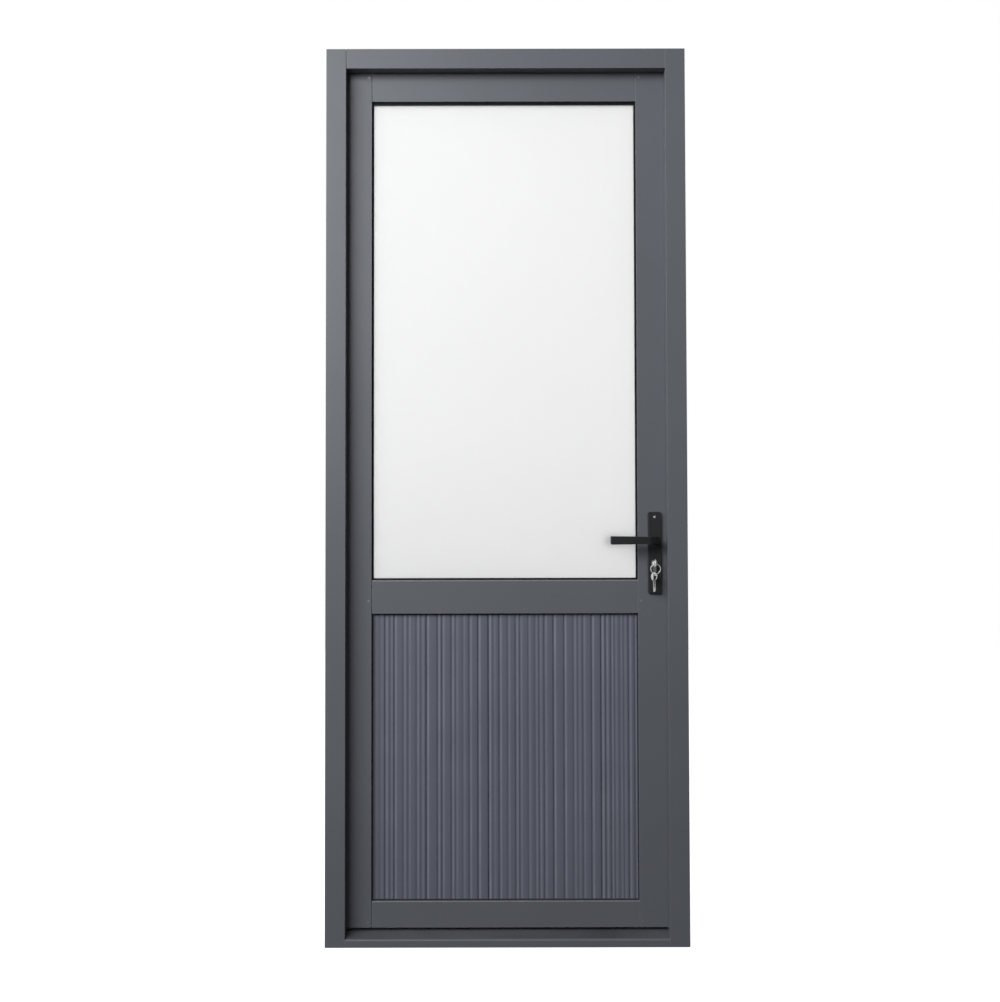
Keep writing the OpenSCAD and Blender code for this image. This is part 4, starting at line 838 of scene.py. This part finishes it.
# %% Keys
BOW_AREA, BOW_RIM, BOW_PRESS, KEY_ROUND = 20 * MM ** 2, 1.0 * MM, 0.25 * MM, 0.3 * MM
SPARE_TURN, SPARE_LEAN, HOLE_INSET = math.radians(18), math.radians(-4), 5 * MM
ALONG_RING, LIFT = -4 * MM, 0.6 * MM
lo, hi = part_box("key")
handle_x = (lo.x + hi.x) / 2
plate_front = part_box("handle_plate_outside")[0].y
for node in ("key", "spare_key"):
    key = copy_of(node)
    facing = max(key.faces, key=lambda f: f.calc_area()).normal.copy()
    wide = [f for f in key.faces if f.calc_area() > BOW_AREA]
    front = [f for f in wide if f.normal.dot(facing) > 0.999]
    rear = [f for f in wide if f.normal.dot(facing) < -0.999]
    for side in (front, rear):
        bmesh.ops.inset_region(key, faces=side, thickness=BOW_RIM, depth=-BOW_PRESS, use_even_offset=True)
    ease(key, corner_edges(key, least=60.0), KEY_ROUND, 2)
    if node == "spare_key":
        lo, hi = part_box(node)
        hole = Vector((handle_x, (lo.y + hi.y) / 2, hi.z - HOLE_INSET))
        swing = Matrix.Rotation(SPARE_LEAN, 3, "X") @ Matrix.Rotation(SPARE_TURN, 3, "Z")
        bmesh.ops.rotate(key, matrix=swing, verts=key.verts, cent=hole)
        bmesh.ops.translate(key, vec=(ALONG_RING, 0, LIFT), verts=key.verts)
        to_plate = plate_front - max(v.co.y for v in key.verts)
        print("spare key, nearest to the plate, mm:", round(to_plate / MM, 2))
    finished(node, key)

# %% [markdown]
# ### Wound wire
#
# The key ring is flat spring wire wound twice round, so that a key can be threaded on. The latch
# spring is round wire in eight turns. Spinning a small section while it moves sideways gives both. A
# closed torus would be simpler, but it would not be a split ring. The spring stays on the leaf.

# %% Helper for wound wire
def wound(section, start, centre, axis, turns, advance, steps):
    """Wire of an oval section, spun round an axis while it moves along it."""
    wire = bmesh.new()
    wire.faces.layers.float.new("edge")
    bmesh.ops.create_circle(wire, cap_ends=True, segments=14, radius=1.0)
    bmesh.ops.scale(wire, vec=(*section, 1.0), verts=wire.verts)
    bmesh.ops.translate(wire, vec=start, verts=wire.verts)
    bmesh.ops.spin(wire, geom=wire.verts[:] + wire.edges[:] + wire.faces[:], cent=centre, axis=axis,
                   angle=turns * 2 * math.pi, steps=steps, dvec=Vector(axis) * advance / steps,
                   use_merge=False, use_duplicate=False)
    bmesh.ops.holes_fill(wire, edges=[e for e in wire.edges if e.is_boundary], sides=0)
    bmesh.ops.recalc_face_normals(wire, faces=wire.faces)
    return wire


# %% Split ring
lo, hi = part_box("key_ring")
centre = (lo + hi) / 2
wire_r = (hi.y - lo.y) / 4
ring_r = (hi.x - lo.x) / 2 - 2 * wire_r
ring = wound((2 * wire_r, wire_r), (centre.x + ring_r, lo.y + wire_r * 1.02, centre.z), centre,
             (0, 1, 0), 2, 1.96 * wire_r, 112)
finished("key_ring", ring, sharp=60.0)
print("ring wire, mm:", round(2 * wire_r / MM, 2), "ring radius, mm:", round(ring_r / MM, 2))

# %% Latch spring
SPRING_WIRE, SPRING_TURNS = 0.6 * MM, 8
lo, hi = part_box("latch_spring")
centre = (lo + hi) / 2
coil_r = (hi.z - lo.z) / 2 - SPRING_WIRE
length = hi.x - lo.x
coil = wound((SPRING_WIRE, SPRING_WIRE), (lo.x + SPRING_WIRE, centre.y + coil_r, centre.z), centre,
             (1, 0, 0), SPRING_TURNS, length - 2 * SPRING_WIRE, 24 * SPRING_TURNS)
spring = place_piece("latch_spring_finished", coil, slot_of["latch_spring"], "leaf", ("latch_spring",),
                     60.0)
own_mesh(spring)

# %% [markdown]
# ## Floor, light and camera
#
# The door stands on a pale floor in front of nothing, as in a studio for catalogue pictures. A large
# soft light hangs high on the left and in front. It makes the top brighter than the foot, and the
# recessed leaf falls into the soft shadow of the frame along the head and the left jamb. The rest of
# the room gives a weak even light. Behind the door it is bright, which is what makes the pane glow.

# %% Floor
floor_bm = bmesh.new()
bmesh.ops.create_grid(floor_bm, x_segments=2, y_segments=2, size=9.0)
floor_mesh = bpy.data.meshes.new("studio_floor")
floor_bm.to_mesh(floor_mesh)
floor_bm.free()
floor = bpy.data.objects.new("studio_floor", floor_mesh)
bpy.context.scene.collection.objects.link(floor)
floor_mat, tree, shader, place = start_material("pale_floor", Roughness=0.9, Specular_IOR_Level=0.1)
shader.inputs["Base Color"].default_value = (0.55, 0.55, 0.55, 1)
shader.inputs["Emission Color"].default_value = (1, 1, 1, 1)
FLOOR_SEEN, FLOOR_UNSEEN = 0.86, 0.30
seen = tree.nodes.new("ShaderNodeLightPath").outputs["Is Camera Ray"]
glow = calc(tree, "MULTIPLY_ADD", seen, FLOOR_SEEN - FLOOR_UNSEEN, FLOOR_UNSEEN)
tree.links.new(glow, shader.inputs["Emission Strength"])
floor_mesh.materials.append(floor_mat)
floor.visible_diffuse = False
floor.visible_glossy = False

# %% Room light
world = bpy.data.worlds.new("studio")
bpy.context.scene.world = world
world.use_nodes = True
tree = world.node_tree
tree.nodes.clear()
way = add(tree, "SeparateXYZ", [("Vector", tree.nodes.new("ShaderNodeTexCoord").outputs["Generated"])])
toward_back = add(tree, "MapRange", [("Value", way.outputs["Y"]), ("From Min", -0.05), ("From Max", 0.25)],
                  interpolation_type="SMOOTHSTEP").outputs[0]
above = add(tree, "MapRange", [("Value", way.outputs["Z"]), ("From Min", -0.25), ("From Max", 0.05)],
            interpolation_type="SMOOTHSTEP").outputs[0]
FRONT_LEVEL, FRONT_LOW, BACK_LEVEL, BACK_LOW = 0.14, 0.04, 1.03, 0.3
front = add(tree, "MapRange", [("Value", above), ("To Min", FRONT_LOW), ("To Max", FRONT_LEVEL)]).outputs[0]
back = add(tree, "MapRange", [("Value", above), ("To Min", BACK_LOW), ("To Max", BACK_LEVEL)]).outputs[0]
level = add(tree, "MapRange", [("Value", toward_back), ("To Min", front), ("To Max", back)]).outputs[0]
seen_white = tree.nodes.new("ShaderNodeLightPath").outputs["Is Camera Ray"]
strength = add(tree, "MapRange", [("Value", seen_white), ("To Min", level), ("To Max", 1.0)]).outputs[0]
sky = add(tree, "Background", [("Color", (1.0, 1.0, 1.0, 1)), ("Strength", strength)])
tree.links.new(sky.outputs[0], tree.nodes.new("ShaderNodeOutputWorld").inputs["Surface"])


# %% Key light
def soft_light(name, spot, aim, width, height, power, colour):
    """A soft box that faces a point."""
    data = bpy.data.lights.new(name, "AREA")
    data.shape, data.size, data.size_y, data.energy, data.color = "RECTANGLE", width, height, power, colour
    obj = bpy.data.objects.new(name, data)
    obj.location = spot
    obj.rotation_euler = (Vector(aim) - Vector(spot)).to_track_quat("-Z", "Y").to_euler()
    bpy.context.scene.collection.objects.link(obj)
    obj.visible_camera = False


soft_light("key_light", spot=(-2.75, -3.5, 3.35), aim=(0.0, 0.0, 2.5), width=4.4, height=2.4, power=237.0,
           colour=(0.97, 0.985, 1.0))
bpy.context.scene.view_settings.view_transform = "Standard"

# %% Camera
LENS, PITCH, YAW, ROLL = 45.81, math.radians(1.723), math.radians(-0.010), math.radians(0.122)
camera_data = bpy.data.cameras.new("camera")
camera_data.lens, camera_data.sensor_width = LENS, 36.0
camera = bpy.data.objects.new("camera", camera_data)
camera.location = (-0.0182, -3.443, 1.0775)
camera.rotation_euler = (math.pi / 2 + PITCH, ROLL, YAW)
bpy.context.scene.collection.objects.link(camera)
bpy.context.scene.camera = camera
